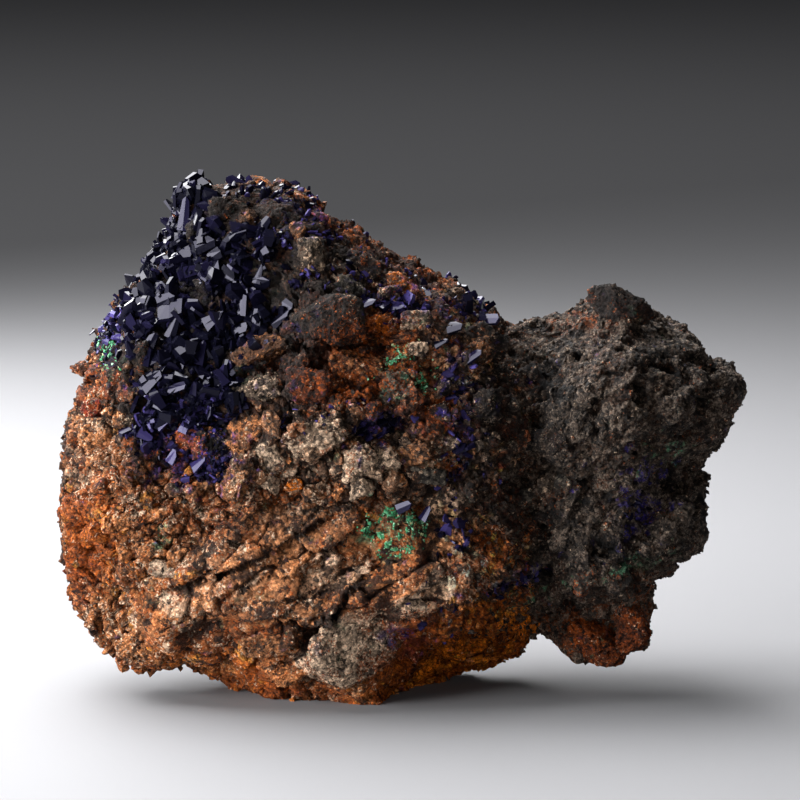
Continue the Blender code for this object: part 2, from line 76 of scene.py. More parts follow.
def noise(points, size, seed):
    """Smooth noise from -1 to 1: the hashed corners of a lattice of the given size, blended by
    the eased distance, part * part * (3 - 2 * part), along each axis."""
    scaled = points / size
    low = np.floor(scaled)
    part = scaled - low
    ease = part * part * (3 - 2 * part)
    total = np.zeros(len(points))
    for corner in np.ndindex(2, 2, 2):
        weight = np.prod(np.where(np.array(corner) == 1, ease, 1 - ease), axis=1)
        total += weight * hashed(low + corner, seed)
    return 2 * total - 1


def layered(points, size, seed, layers=3):
    """Noise upon noise: each layer has half the size and 0.55 of the strength of the last."""
    return sum(0.55**n * noise(points, size * 0.5**n, seed + 31 * n) for n in range(layers))


Cells = namedtuple("Cells", "near next name offset")


def cells(points, size, seed):
    """For each point, the distance to the nearest seed of a jittered lattice and to the next,
    in units of size, that seed's own number from 0 to 1, and the way from the seed to the point."""
    scaled = points / size
    low = np.floor(scaled)
    nearest = np.full(len(points), 9.0)
    second = np.full(len(points), 9.0)
    name = np.zeros(len(points))
    offset = np.zeros((len(points), 3))
    for step in np.ndindex(3, 3, 3):
        corner = low + np.array(step) - 1
        seed_point = corner + np.stack([hashed(corner, seed + n) for n in range(3)], axis=1)
        away = scaled - seed_point
        reach = np.linalg.norm(away, axis=1)
        closer = reach < nearest
        second = np.minimum(second, np.maximum(reach, nearest))
        name = np.where(closer, hashed(corner, seed + 7), name)
        offset = np.where(closer[:, None], away, offset)
        nearest = np.minimum(nearest, reach)
    return Cells(nearest, second, name, offset)


def eased(value, start, end):
    """0 below start, 1 above end, and a smooth rise between them."""
    part = np.clip((value - start) / (end - start), 0, 1)
    return part * part * (3 - 2 * part)


def unit(vectors):
    """The vectors at length 1."""
    return vectors / np.linalg.norm(vectors, axis=-1, keepdims=True)


def mixed(start, end, share):
    """From the start to the end by the share: start * (1 - share) + end * share."""
    return start * (1 - share) + end * share


print("noise at a few points:", noise(np.array([[0.5, 0.5, 0.5], [3.2, 1.1, 0.4]]), 1.0, 1).round(3))

# %% [markdown]
# ## The outline of the rock
#
# Seen from the front the specimen is two masses grown together. Each could be modelled from a
# scanned hull or a lump of metaballs. Here each is an outline, read as a reach from its centre
# in every direction, with a depth in front and behind. A superellipse joins the two, which
# makes a fat pillow: fuller than a ball, softer than a box.

# %% Outlines and depths
Mass = namedtuple("Mass", "centre front back middle squareness outline")
Form = namedtuple("Form", "x z wide high turn rise edge")
Plane = namedtuple("Plane", "normal distance keep")

PALE_ROCK = Mass(
    centre=(-15.0, 57.0),
    front=40.0,
    back=42.0,
    middle=0.0,
    squareness=2.5,
    outline=[
        (55.0, 38.0), (49.0, 55.0), (52.0, 68.0), (46.0, 83.0), (42.5, 91.0), (35.0, 98.0),
        (30.0, 100.5), (24.0, 101.0), (17.5, 105.3), (7.5, 111.7), (0.0, 117.5), (-6.5, 123.5),
        (-10.5, 126.0), (-17.0, 126.0), (-24.0, 128.0), (-31.5, 126.2), (-36.3, 125.0),
        (-37.5, 118.5), (-39.3, 111.0), (-44.5, 102.5), (-52.5, 95.5), (-56.0, 87.5),
        (-59.0, 80.0), (-61.0, 72.0), (-63.8, 64.5), (-67.5, 58.5), (-68.8, 49.0),
        (-69.4, 38.0), (-67.5, 28.0), (-63.5, 20.0), (-59.0, 13.0), (-53.5, 6.5), (-48.0, 4.0),
        (-35.0, 3.5), (-27.0, 2.0), (-15.0, -8.0), (0.0, -13.0), (14.0, -13.0), (22.0, -3.0),
        (30.0, 0.5), (41.0, 4.0), (49.0, 9.5), (53.0, 22.0),
    ],
)
DARK_ROCK = Mass(
    centre=(66.0, 58.0),
    front=27.0,
    back=32.0,
    middle=1.0,
    squareness=2.7,
    outline=[
        (103.2, 73.5), (101.5, 78.0), (95.5, 80.5), (92.5, 85.7), (88.0, 88.5), (80.5, 93.8),
        (76.2, 97.6), (70.5, 98.6), (65.5, 97.0), (63.5, 94.8), (54.0, 92.2), (47.5, 90.2),
        (38.0, 88.0), (31.0, 70.0), (29.0, 50.0), (34.0, 30.0), (42.0, 17.5), (50.0, 10.2),
        (55.5, 10.2), (58.7, 5.5), (62.0, 2.9), (67.0, 3.2), (70.0, 6.6), (73.0, 5.6),
        (76.5, 3.4), (80.5, 6.2), (80.3, 14.0), (79.3, 20.3), (80.2, 26.1), (84.5, 27.4),
        (86.0, 31.0), (93.3, 32.8), (93.5, 38.0), (92.0, 48.0), (92.6, 57.0), (99.5, 65.5),
    ],
)


def cube_sphere(steps):
    """Unit directions and four-sided faces: a cube's six gridded sides blown up to a sphere,
    with the points that two sides share joined."""
    line = np.tan(np.linspace(-math.pi / 4, math.pi / 4, steps + 1))
    u, v = np.meshgrid(line, line, indexing="ij")
    one = np.ones_like(u)
    sides = [(one, u, v), (-one, v, u), (v, one, u), (u, -one, v), (u, v, one), (v, u, -one)]
    points = np.concatenate([np.stack(side, axis=-1).reshape(-1, 3) for side in sides])
    points = unit(points)
    index = np.arange(points.shape[0]).reshape(6, steps + 1, steps + 1)
    quads = np.stack(
        [index[:, :-1, :-1], index[:, 1:, :-1], index[:, 1:, 1:], index[:, :-1, 1:]], axis=-1
    )
    keys = np.round(points, 6) + 0.0
    _, first, joined = np.unique(keys, axis=0, return_index=True, return_inverse=True)
    return points[first], joined.reshape(-1)[quads.reshape(-1, 4)]


def reach_of(outline, centre, angle):
    """How far the outline lies from its centre in the direction of each angle."""
    offsets = np.array(outline) - centre
    turns = np.arctan2(offsets[:, 1], offsets[:, 0])
    order = np.argsort(turns)
    reaches = np.hypot(offsets[:, 0], offsets[:, 1])
    return np.interp(angle, turns[order], reaches[order], period=math.tau)


def mass_points(directions, mass):
    """Each direction carried out to the mass: the outline's reach in X and Z and the front or
    back depth along Y, joined by a superellipse of the mass's squareness."""
    angle = np.arctan2(directions[:, 2], directions[:, 0])
    reach = reach_of(mass.outline, mass.centre, angle)
    across = np.hypot(directions[:, 0], directions[:, 2])
    deep = np.abs(directions[:, 1])
    power = mass.squareness
    grown = (across**power + deep**power) ** (-1 / power)
    depth = np.where(directions[:, 1] < 0, -mass.front, mass.back)
    return np.stack(
        [
            mass.centre[0] + reach * across * grown * np.cos(angle),
            mass.middle + depth * deep * grown,
            mass.centre[1] + reach * across * grown * np.sin(angle),
        ],
        axis=1,
    )


print(len(PALE_ROCK.outline), "points round the pale mass,", len(DARK_ROCK.outline), "round the dark one")

# %% [markdown]
# ## Lumps, hollows and plates
#
# What makes this specimen this one is a few dozen features: the hollow that the azurite grew
# in, the cushion of rusty rock beside it, the belly of bedded plates low on the left, the
# boulder at its foot, the dark valley between the masses and the arch under them. Each is one
# row of a table, an oval with a rise towards the viewer, soft or with a steep edge. The cracks
# are paths: beside each, the plate above it stands a little proud of the one below.

# %% Features of the front face
PALE_FORMS = [
    Form(-22.5, 110.0, 26.0, 22.0, 0, -8.0, 1),
    Form(-28.0, 97.0, 15.0, 25.0, 10, -5.5, 2),
    Form(-32.0, 60.0, 11.0, 10.0, 0, -2.0, 1),
    Form(-0.5, 95.9, 8.5, 7.5, 0, 4.8, 3),
    Form(2.5, 81.0, 10.0, 7.0, 0, 3.2, 3),
    Form(-3.0, 67.6, 9.0, 5.0, 30, 3.6, 3),
    Form(-20.0, 56.3, 6.0, 6.5, 0, 2.6, 4),
    Form(7.5, 59.8, 5.0, 4.5, 20, 2.6, 3),
    Form(16.0, 58.5, 9.0, 5.0, -15, 2.2, 2),
    Form(-7.5, 30.2, 32.0, 20.0, 10, 4.5, 1),
    Form(6.75, 8.8, 11.0, 11.0, 0, 5.0, 4),
    Form(-43.0, 18.0, 9.0, 9.0, 0, 3.2, 2),
    Form(-27.0, 28.5, 8.0, 4.0, 10, 2.6, 3),
    Form(20.0, 29.0, 21.0, 8.0, 18, 4.0, 3),
    Form(33.0, 9.5, 19.0, 8.0, 20, -14.0, 2),
    Form(12.0, 69.6, 7.0, 5.0, 0, -4.8, 2),
    Form(2.5, 112.0, 5.0, 4.0, 0, -5.0, 2),
    Form(-4.0, 110.0, 4.5, 4.5, 0, 3.0, 2),
    Form(-52.0, 66.0, 8.0, 6.0, 0, 2.2, 2),
    Form(17.5, 43.4, 9.0, 5.5, 0, 2.0, 2),
    Form(17.5, 98.0, 12.0, 5.0, -35, 2.2, 1),
    Form(41.0, 60.0, 10.0, 27.0, 0, 5.0, 1),
]
DARK_FORMS = [
    Form(77.5, 77.7, 24.0, 14.0, 25, 6.5, 2),
    Form(72.0, 98.4, 8.0, 6.0, 0, 2.0, 2),
    Form(50.5, 73.9, 7.0, 24.0, -5, -3.5, 1),
    Form(53.7, 56.2, 6.0, 5.0, 0, -6.0, 2),
    Form(48.7, 87.3, 5.0, 4.0, 0, -5.0, 2),
    Form(84.0, 51.0, 6.0, 14.0, -35, -7.0, 2),
    Form(72.0, 35.0, 18.0, 7.0, 20, 3.0, 2),
    Form(70.0, 14.5, 24.0, 10.0, 0, -10.0, 3),
    Form(62.0, 11.0, 7.0, 7.0, 0, 6.0, 2),
    Form(77.0, 14.0, 6.0, 8.0, 0, 6.0, 2),
    Form(64.5, 33.0, 5.0, 4.0, 0, 2.6, 2),
    Form(57.0, 60.5, 3.5, 3.5, 0, 3.0, 2),
]
PALE_BREAKS = [
    Plane((-0.75, 0.62, 0.22), 54.0, 0.15),
    Plane((0.10, 0.86, 0.50), 50.0, 0.12),
    Plane((0.30, 0.90, -0.30), 36.0, 0.15),
    Plane((-0.20, 0.70, -0.68), 34.0, 0.20),
    Plane((0.55, 0.45, 0.70), 62.0, 0.20),
]
DARK_BREAKS = [
    Plane((0.60, 0.78, 0.15), 26.0, 0.15),
    Plane((-0.15, 0.85, 0.50), 26.0, 0.15),
    Plane((0.20, 0.72, -0.66), 27.0, 0.20),
]
CRACKS = [
    ([(-34.0, 31.5), (-28.5, 33.0), (-22.0, 35.6), (-12.5, 40.0), (-4.5, 44.8), (-1.5, 46.8)], 1.5, 3.0),
    ([(-6.5, 34.8), (-2.0, 37.3), (3.0, 40.8)], 0.9, 2.0),
    ([(1.0, 21.2), (2.0, 24.0), (4.5, 28.3), (9.0, 33.8)], 1.4, 3.4),
    ([(-10.0, 28.2), (-4.0, 26.5), (1.0, 23.8)], 0.8, 1.8),
    ([(-5.0, 18.8), (1.0, 20.9), (5.0, 18.4), (10.0, 17.4), (15.5, 18.2)], 2.0, 4.2),
    ([(-18.0, 18.4), (-12.0, 20.4), (-9.0, 22.0)], 1.0, 2.2),
    ([(-19.5, 12.6), (-11.0, 13.1), (-6.5, 15.4), (-5.0, 18.6)], 1.2, 2.6),
    ([(-24.0, 61.5), (-17.5, 61.5)], 1.2, 2.4),
    ([(-8.0, 89.0), (0.0, 88.2), (9.0, 89.0)], 1.4, 3.0),
]


def facing_front(directions):
    """1 on the front face, falling to 0 at the rim, so that features fade out there."""
    return np.clip(-2.2 * directions[:, 1], 0, 1)


def oval_distance(points, oval):
    """The square of each point's distance from the oval's centre in the front view, in radii."""
    turn = math.radians(oval.turn)
    dx, dz = points[:, 0] - oval.x, points[:, 2] - oval.z
    along = (dx * math.cos(turn) + dz * math.sin(turn)) / oval.wide
    over = (dz * math.cos(turn) - dx * math.sin(turn)) / oval.high
    return along**2 + over**2


def add_forms(points, directions, forms):
    """Raises or sinks the front face by each form: rise * exp(-(distance / radius) ** (2 edge))."""
    for form in forms:
        share = np.exp(-(oval_distance(points, form) ** form.edge))
        points[:, 1] -= form.rise * share * facing_front(directions)


def from_path(points, path):
    """Each point's distance in the front view to the path, and the side of it: 1 or -1."""
    line = np.array(path)
    away = np.full(len(points), 1e3)
    side = np.zeros(len(points))
    for start, end in zip(line[:-1], line[1:]):
        run = end - start
        offset = points[:, [0, 2]] - start
        along = np.clip(offset @ run / (run @ run), 0, 1)
        gap = offset - np.outer(along, run)
        distance = np.hypot(gap[:, 0], gap[:, 1])
        nearer = distance < away
        away = np.where(nearer, distance, away)
        side = np.where(nearer, np.sign(run[0] * gap[:, 1] - run[1] * gap[:, 0]), side)
    return away, side


def step_plates(points, directions):
    """Raises the plate above each crack and lowers the one below it: a step of 0.9 of the
    crack's width on either side, fading over 3.5 mm."""
    for path, width, _ in CRACKS:
        away, side = from_path(points, path)
        points[:, 1] -= 0.9 * width * side * np.exp(-away / 3.5) * facing_front(directions)


def break_off(points, planes, centre):
    """Cuts the rock back to flat broken faces, leaving only a share of what stood past each."""
    for plane in planes:
        normal = np.array(plane.normal) / np.linalg.norm(plane.normal)
        past = (points - centre) @ normal - plane.distance
        points -= np.outer(np.maximum(past, 0) * (1 - plane.keep), normal)


ROCK_RADII = np.array([60.0, 40.0, 60.0])


def heart(mass):
    """The middle of the mass, as x, y and z."""
    return np.array([mass.centre[0], mass.middle, mass.centre[1]])


def roughen(points, mass, seed):
    """Warps the rock by noise in three directions and raises round lumps over jittered cells:
    lump = height * (0.3 - 1.3 * distance ** 2), which leaves a crease where two lumps meet."""
    for size, amount in ((17.0, 1.6), (8.0, 0.7)):
        shift = np.stack([noise(points, size, seed + 11 * n) for n in range(3)], axis=1)
        points += amount * shift
    outward = unit((points - heart(mass)) / ROCK_RADII**2)
    for size, height in ((13.0, 3.2), (6.5, 2.0)):
        near = cells(points, size, seed + 5).near
        points += outward * (height * (0.3 - 1.3 * near**2))[:, None]


def rock_points(directions, mass, forms, planes, seed):
    """The rock's surface in millimetres, for unit directions from inside it."""
    points = mass_points(directions, mass)
    add_forms(points, directions, forms)
    step_plates(points, directions)
    break_off(points, planes, heart(mass))
    roughen(points, mass, seed)
    return points


def outward_normals(points, quads):
    """Smooth unit normals: at each point, the summed cross products of the diagonals of the
    faces that meet there."""
    corner = points[quads]
    flat = np.cross(corner[:, 2] - corner[:, 0], corner[:, 3] - corner[:, 1])
    total = np.stack(
        [np.bincount(quads.reshape(-1), np.repeat(flat[:, n], 4), len(points)) for n in range(3)], axis=1
    )
    size = np.linalg.norm(total, axis=1)
    return total / np.maximum(size, 1e-12)[:, None], size / 4


ROCK_STEPS = 127
FORWARD_PULL = 0.55
ball, ball_quads = cube_sphere(ROCK_STEPS)
ball = unit(ball + [0, -FORWARD_PULL, 0])
pale_points = rock_points(ball, PALE_ROCK, PALE_FORMS, PALE_BREAKS, 3)
dark_points = rock_points(ball, DARK_ROCK, DARK_FORMS, DARK_BREAKS, 40)
print(len(ball), "points and", 2 * len(ball_quads), "triangles in each mass")

# %% [markdown]
# ## Where the rock is what
#
# The rock changes from place to place: bedded plates low on the left, blocky clasts across the
# middle, a rusty left edge, sooty crumbs towards the right, ochre under the arch. Painting a
# mask would be one way. Here each place is an oval in the front view with a soft edge, and a
# table says what it adds: a share of cream, tan, rust, ochre, dark and so on. The shares decide
# the colours later, block by block and grain by grain.

# %% Colours and zones


def linear(*tones):
    """Screen colours, 0 to 255, as linear light: (tone / 255) ** 2.2."""
    return (np.array(tones, dtype=float) / 255) ** 2.2


def paint(red, green, blue):
    """One screen colour as linear light."""
    return linear((red, green, blue))[0]


KINDS = {
    "cream": linear((206, 178, 152), (184, 152, 124), (164, 134, 108)),
    "peach": linear((200, 132, 84), (176, 110, 66), (154, 92, 54)),
    "tan": linear((158, 106, 70), (136, 88, 56), (116, 76, 50)),
    "rust": linear((128, 62, 28), (98, 50, 26), (74, 41, 26)),
    "ochre": linear((206, 112, 26), (176, 88, 20), (206, 136, 44)),
    "red": linear((134, 44, 22), (100, 34, 20), (156, 70, 30)),
    "brown": linear((66, 49, 38), (50, 38, 31), (80, 60, 45)),
    "black": linear((28, 24, 24), (19, 17, 18), (36, 31, 30)),
    "grey": linear((108, 98, 86), (86, 79, 70), (68, 62, 56)),
}
Zone = namedtuple("Zone", "x z wide high turn kind weight")
Oval = namedtuple("Oval", "x z wide high turn weight", defaults=[1])
ZONES = [
    Zone(-30, 40, 34, 26, 10, "tan", 1.4),
    Zone(-24, 36, 30, 18, 14, "peach", 1.2),
    Zone(-12, 28, 34, 16, 15, "tan", 1.6),
    Zone(-12, 62, 26, 12, 15, "cream", 1.2),
    Zone(-20, 68, 16, 8, 0, "peach", 1.0),
    Zone(-57, 66, 8, 10, 0, "peach", 2.4),
    Zone(-58, 78, 5, 6, 0, "red", 1.0),
    Zone(-62, 53, 4, 4, 0, "cream", 3.0),
    Zone(-59, 43, 8, 9, 0, "ochre", 4.0),
    Zone(-67, 52, 4, 14, 0, "black", 3.0),
    Zone(-61, 32, 5, 6, 0, "red", 3.0),
    Zone(-50, 46, 8, 5, 0, "peach", 2.0),
    Zone(-36, 50, 10, 9, 0, "rust", 1.3),
    Zone(-36, 50, 10, 9, 0, "peach", 2.0),
    Zone(-28, 46, 8, 6, 0, "red", 0.9),
    Zone(-46, 20, 16, 14, 20, "peach", 2.0),
    Zone(-50, 26, 12, 8, 0, "ochre", 0.8),
    Zone(-46, 10, 16, 6, 0, "ochre", 0.7),
    Zone(-20, 20, 22, 8, 10, "rust", 0.9),
    Zone(-27, 30.5, 10, 5, 10, "cream", 2.6),
    Zone(12, 24, 11, 3, 15, "cream", 1.8),
    Zone(30, 31, 9, 6, 20, "cream", 1.6),
    Zone(-24, 13, 14, 7, 0, "peach", 1.4),
    Zone(-10, 42, 14, 7, 15, "grey", 0.4),
    Zone(-6, 34, 16, 9, 20, "peach", 1.2),
    Zone(0, 30, 12, 7, 20, "grey", 0.35),
    Zone(5, 12, 11, 9, 0, "grey", 0.3),
    Zone(5, 13, 10, 8, 0, "cream", 1.4),
    Zone(4, 16, 9, 3, 0, "cream", 1.6),
    Zone(8, 5, 9, 3, 0, "peach", 1.6),
    Zone(20, 34, 18, 8, 20, "tan", 1.2),
    Zone(14, 30, 8, 5, 20, "rust", 1.4),
    Zone(24, 60, 16, 9, 0, "brown", 0.8),
    Zone(15, 61, 12, 8, 0, "cream", 1.6),
    Zone(22, 66, 9, 8, 0, "tan", 1.2),
    Zone(32, 64, 7, 18, 5, "grey", 1.6),
    Zone(0, 96, 9, 8, 0, "brown", 2.4),
    Zone(2, 92, 9, 8, 0, "rust", 1.8),
    Zone(8, 82, 12, 8, 0, "rust", 2.4),
    Zone(13, 95, 4, 4, 0, "ochre", 3.0),
    Zone(14, 106, 22, 5, -38, "rust", 1.0),
    Zone(10, 104, 16, 7, -35, "grey", 2.0),
    Zone(10, 104, 16, 7, -35, "cream", 0.9),
    Zone(-3, 121, 14, 2.5, -42, "ochre", 3.0),
    Zone(-9, 125, 4, 3, 0, "cream", 3.0),
    Zone(26, 71, 6, 6, 0, "red", 2.6),
    Zone(40, 38, 5, 4.5, 0, "ochre", 2.0),
    Zone(45, 62, 11, 30, 0, "grey", 2.2),
    Zone(72, 98, 9, 7, 0, "brown", 2.5),
    Zone(-10, 118, 24, 12, -10, "brown", 1.6),
    Zone(-14, 118, 18, 9, -10, "black", 1.4),
    Zone(-20, 120, 5, 4, 0, "tan", 1.6),
    Zone(-28, 94, 22, 26, 0, "black", 6.0),
    Zone(-42, 64, 9, 9, 0, "black", 0.8),
    Zone(-34, 64, 4, 7, 10, "ochre", 4.0),
    Zone(12, 71, 10, 5, 0, "black", 1.8),
    Zone(42, 60, 14, 44, 0, "brown", 2.2),
    Zone(38, 80, 12, 18, 0, "grey", 0.8),
    Zone(30, 88, 12, 8, -20, "tan", 1.2),
    Zone(36, 12, 25, 9, 20, "ochre", 9.0),
    Zone(46, 30, 12, 4, 15, "black", 3.0),
    Zone(-23, 3, 8, 6, 0, "ochre", 4.0),
]
GREEN_STAINS = [
    Oval(15.8, 43.8, 8.5, 6.0, 0, 0.5), Oval(19.0, 82.0, 8.0, 7.0, 0, 0.45),
    Oval(-56.0, 86.0, 4.0, 8.0, 15, 1.0), Oval(85.0, 60.0, 4.5, 5.0, 0, 0.7),
    Oval(76.0, 33.0, 11.0, 2.5, 15, 0.8), Oval(-40.5, 43.5, 2.4, 4.0, 0, 0.8),
    Oval(-20.0, 83.0, 5.0, 2.5, 0, 0.7), Oval(34.0, 103.0, 4.0, 3.0, 0, 0.8),
    Oval(48.0, 24.0, 16.0, 2.5, 18, 0.5),
]
BLUE_STAINS = [
    Oval(-27, 97, 20, 24, 0, 0.35), Oval(-5, 120, 7, 6, -30, 0.6), Oval(-34, 66, 14, 12, 0, 0.7),
    Oval(-57, 92, 5, 12, 15, 1.0), Oval(77, 50, 8, 13, -25, 0.65), Oval(32, 74, 7, 20, 10, 0.45),
    Oval(22, 97, 16, 6, -20, 0.6), Oval(20, 14, 5, 9, 20, 0.8), Oval(46, 30, 10, 3, 12, 0.9),
    Oval(12, 70, 9, 5, 0, 0.6), Oval(-26, 62, 6, 6, 0, 0.55),
]
BACKGROUND = {
    "tan": 0.36, "rust": 0.30, "brown": 0.30, "grey": 0.10, "cream": 0.08, "black": 0.06, "ochre": 0.05,
    "peach": 0.15, "red": 0.02,
}
STAIN_LAYERS = [(GREEN_STAINS, paint(84, 134, 102), 281), (BLUE_STAINS, paint(52, 44, 124), 291)]


def oval_share(points, oval):
    """1 at the oval's centre, falling as exp(-distance ** 2) past its radii in the front view."""
    return np.exp(-oval_distance(points, oval))


def on_front(points):
    """1 on the front, easing to 0 round the sides."""
    return eased(-points[:, 1], -8, 12)


def kind_shares(points):
    """Each kind's share at each point, one row to a kind, adding up to 1: the background's and
    what the zones add on the front."""
    front = on_front(points)
    shares = {kind: np.full(len(points), BACKGROUND[kind]) for kind in KINDS}
    for zone in ZONES:
        shares[zone.kind] = shares[zone.kind] + zone.weight * oval_share(points, zone) * front
    rows = np.stack([shares[kind] for kind in KINDS])
    return rows / rows.sum(axis=0)


def block_colour(shares, pick, shade):
    """One colour for each point: pick chooses the kind whose share it falls in, and shade
    chooses among that kind's three tones. The zone's average is mixed in by half."""
    tones = np.stack(list(KINDS.values()))
    chosen = np.minimum((pick > np.cumsum(shares, axis=0)).sum(axis=0), len(KINDS) - 1)
    picked = tones[chosen, np.minimum((shade * 3).astype(int), 2)]
    average = np.einsum("kn,kc->nc", shares, tones.mean(axis=1))
    return 0.5 * picked + 0.5 * average


def stained(points, tint):
    """The tint under crusts of malachite and azurite too thin to model: ragged where
    weight * oval share + 0.45 * noise passes a half."""
    front = on_front(points)
    for stains, tone, seed in STAIN_LAYERS:
        share = np.max([zone.weight * oval_share(points, zone) for zone in stains], axis=0) * front
        cover = 0.75 * eased(share + 0.45 * layered(points, 2.6, seed), 0.38, 0.62)[:, None]
        tint = mixed(tint, tone, cover)
    return tint


def share_of(shares, *kinds):
    """The summed share of those kinds."""
    order = list(KINDS)
    return sum(shares[order.index(kind)] for kind in kinds)


print(len(ZONES), "zones over", len(KINDS), "kinds of clast")

# %% [markdown]
# ## Putting numbers into a mesh
#
# Blender can take a mesh in one go: all corners, then for each face where its run of corners
# starts. That is much quicker than adding faces one by one, and these meshes are large. Two
# colour attributes travel with the corners: tint, which is a colour, and stain, whose three
# numbers say how much dark, rust and cream the finish is to sprinkle there; a fourth says how
# rough it is.

# %% Mesh from arrays


def colour_attribute(mesh, name, values):
    """Three or four numbers a point, stored as a colour attribute; a missing fourth is 1."""
    made = mesh.attributes.new(name, "FLOAT_COLOR", "POINT")
    rgba = np.ones((len(values), 4))
    rgba[:, : values.shape[1]] = values
    made.data.foreach_set("color", rgba.astype(np.float32).reshape(-1))


def piece_from(name, points, corners, sizes, tint, stain, finish, nodes=()):
    """A piece from points in millimetres, the faces' corners in one run, each face's number of
    corners, and the tint and stain of each point."""
    mesh = bpy.data.meshes.new(name)
    mesh.vertices.add(len(points))
    mesh.vertices.foreach_set("co", (points * MM).astype(np.float32).reshape(-1))
    mesh.loops.add(len(corners))
    mesh.loops.foreach_set("vertex_index", corners.astype(np.int32))
    starts = np.concatenate([[0], np.cumsum(sizes)[:-1]])
    mesh.polygons.add(len(sizes))
    mesh.polygons.foreach_set("loop_start", starts.astype(np.int32))
    mesh.polygons.foreach_set("use_smooth", np.zeros(len(sizes), dtype=bool))
    mesh.update(calc_edges=True)
    colour_attribute(mesh, "tint", tint)
    colour_attribute(mesh, "stain", stain)
    mesh.materials.append(finish)
    made = bpy.data.objects.new(name, mesh)
    bpy.context.scene.collection.objects.link(made)
    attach(made, "root")
    if nodes:
        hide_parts(*nodes)
    print(f"{name}: {sum(sizes) - 2 * len(sizes)} triangles")
    return made


def smooth(piece):
    """Smooth shading on every face."""
    piece.data.polygons.foreach_set("use_smooth", np.ones(len(piece.data.polygons), dtype=bool))
    piece.data.update()


# %% [markdown]
# ## The stone finish
#
# Real grain goes on below what a mesh can hold. The finish takes the block's colour from the
# mesh, gives each half-millimetre grain a brightness of its own, and lets rust, cream and black
# spread in ragged patches where the stain asks for them. The same textures raise it a little as
# bump, and they paint shade into its hollows and a highlight onto its crests. Stone is rough, so
# almost nothing shines.

# %% Stone


def set_sockets(made, values):
    """Plain numbers put into the node's named sockets, with _ for a space in a name."""
    for name, value in values.items():
        made.inputs[name.replace("_", " ")].default_value = value


def node(tree, kind, **values):
    """A shader node of that kind with its sockets set."""
    made = tree.nodes.new(kind)
    set_sockets(made, values)
    return made


def attribute(tree, name):
    """What the mesh keeps under that name, point by point."""
    made = tree.nodes.new("ShaderNodeAttribute")
    made.attribute_name = name
    return made.outputs


def new_finish(name, **values):
    """A new material, its node tree, and its shader with its sockets set."""
    made = bpy.data.materials.new(name)
    made.use_nodes = True
    shader = made.node_tree.nodes["Principled BSDF"]
    set_sockets(shader, values)
    return made, made.node_tree, shader


def ramp(tree, source, low, high, bottom=0.0, top=1.0):
    """The source carried from low..high to bottom..top."""
    made = node(tree, "ShaderNodeMapRange", From_Min=low, From_Max=high, To_Min=bottom, To_Max=top)
    tree.links.new(source, made.inputs["Value"])
    return made.outputs["Result"]


def reckon(tree, operation, first, second):
    """The operation done on two numbers, each a socket or a plain value."""
    made = tree.nodes.new("ShaderNodeMath")
    made.operation = operation
    for socket, value in zip(made.inputs, (first, second)):
        if isinstance(value, (int, float)):
            socket.default_value = value
        else:
            tree.links.new(value, socket)
    return made.outputs["Value"]


def blend_to(tree, share, start, end):
    """The start colour mixed towards a plain end colour by the share."""
    made = tree.nodes.new("ShaderNodeMix")
    made.data_type = "RGBA"
    tree.links.new(share, made.inputs["Factor"])
    tree.links.new(start, made.inputs["A"])
    made.inputs["B"].default_value = (*end, 1)
    return made.outputs["Result"]


def ragged(tree, texture, speck, amount, softness):
    """A ragged patch: 1 where the texture, shifted by a grain's own number, passes a threshold
    that the amount, 0 to 1, lowers."""
    threshold = ramp(tree, amount, 0.0, 1.0, 0.76, 0.30)
    shifted = reckon(tree, "ADD", texture, ramp(tree, speck, 0.0, 1.0, -0.12, 0.12))
    return ramp(tree, reckon(tree, "SUBTRACT", shifted, threshold), -softness, softness)


def channels(tree, colour):
    """The red, green and blue of a colour socket, each as a number."""
    made = tree.nodes.new("ShaderNodeSeparateColor")
    tree.links.new(colour, made.inputs["Color"])
    return made.outputs


def scaled(tree, colour, factor):
    """The colour times the factor."""
    made = tree.nodes.new("ShaderNodeVectorMath")
    made.operation = "SCALE"
    tree.links.new(colour, made.inputs[0])
    tree.links.new(factor, made.inputs["Scale"])
    return made.outputs["Vector"]


def crested(tree, texture):
    """Sharp crests: 1 - 1.7 * |2 * noise - 1|."""
    away = reckon(tree, "ABSOLUTE", ramp(tree, texture, 0.0, 1.0, -1.0, 1.0), 0.0)
    return reckon(tree, "SUBTRACT", 1.0, reckon(tree, "MULTIPLY", away, 1.7))


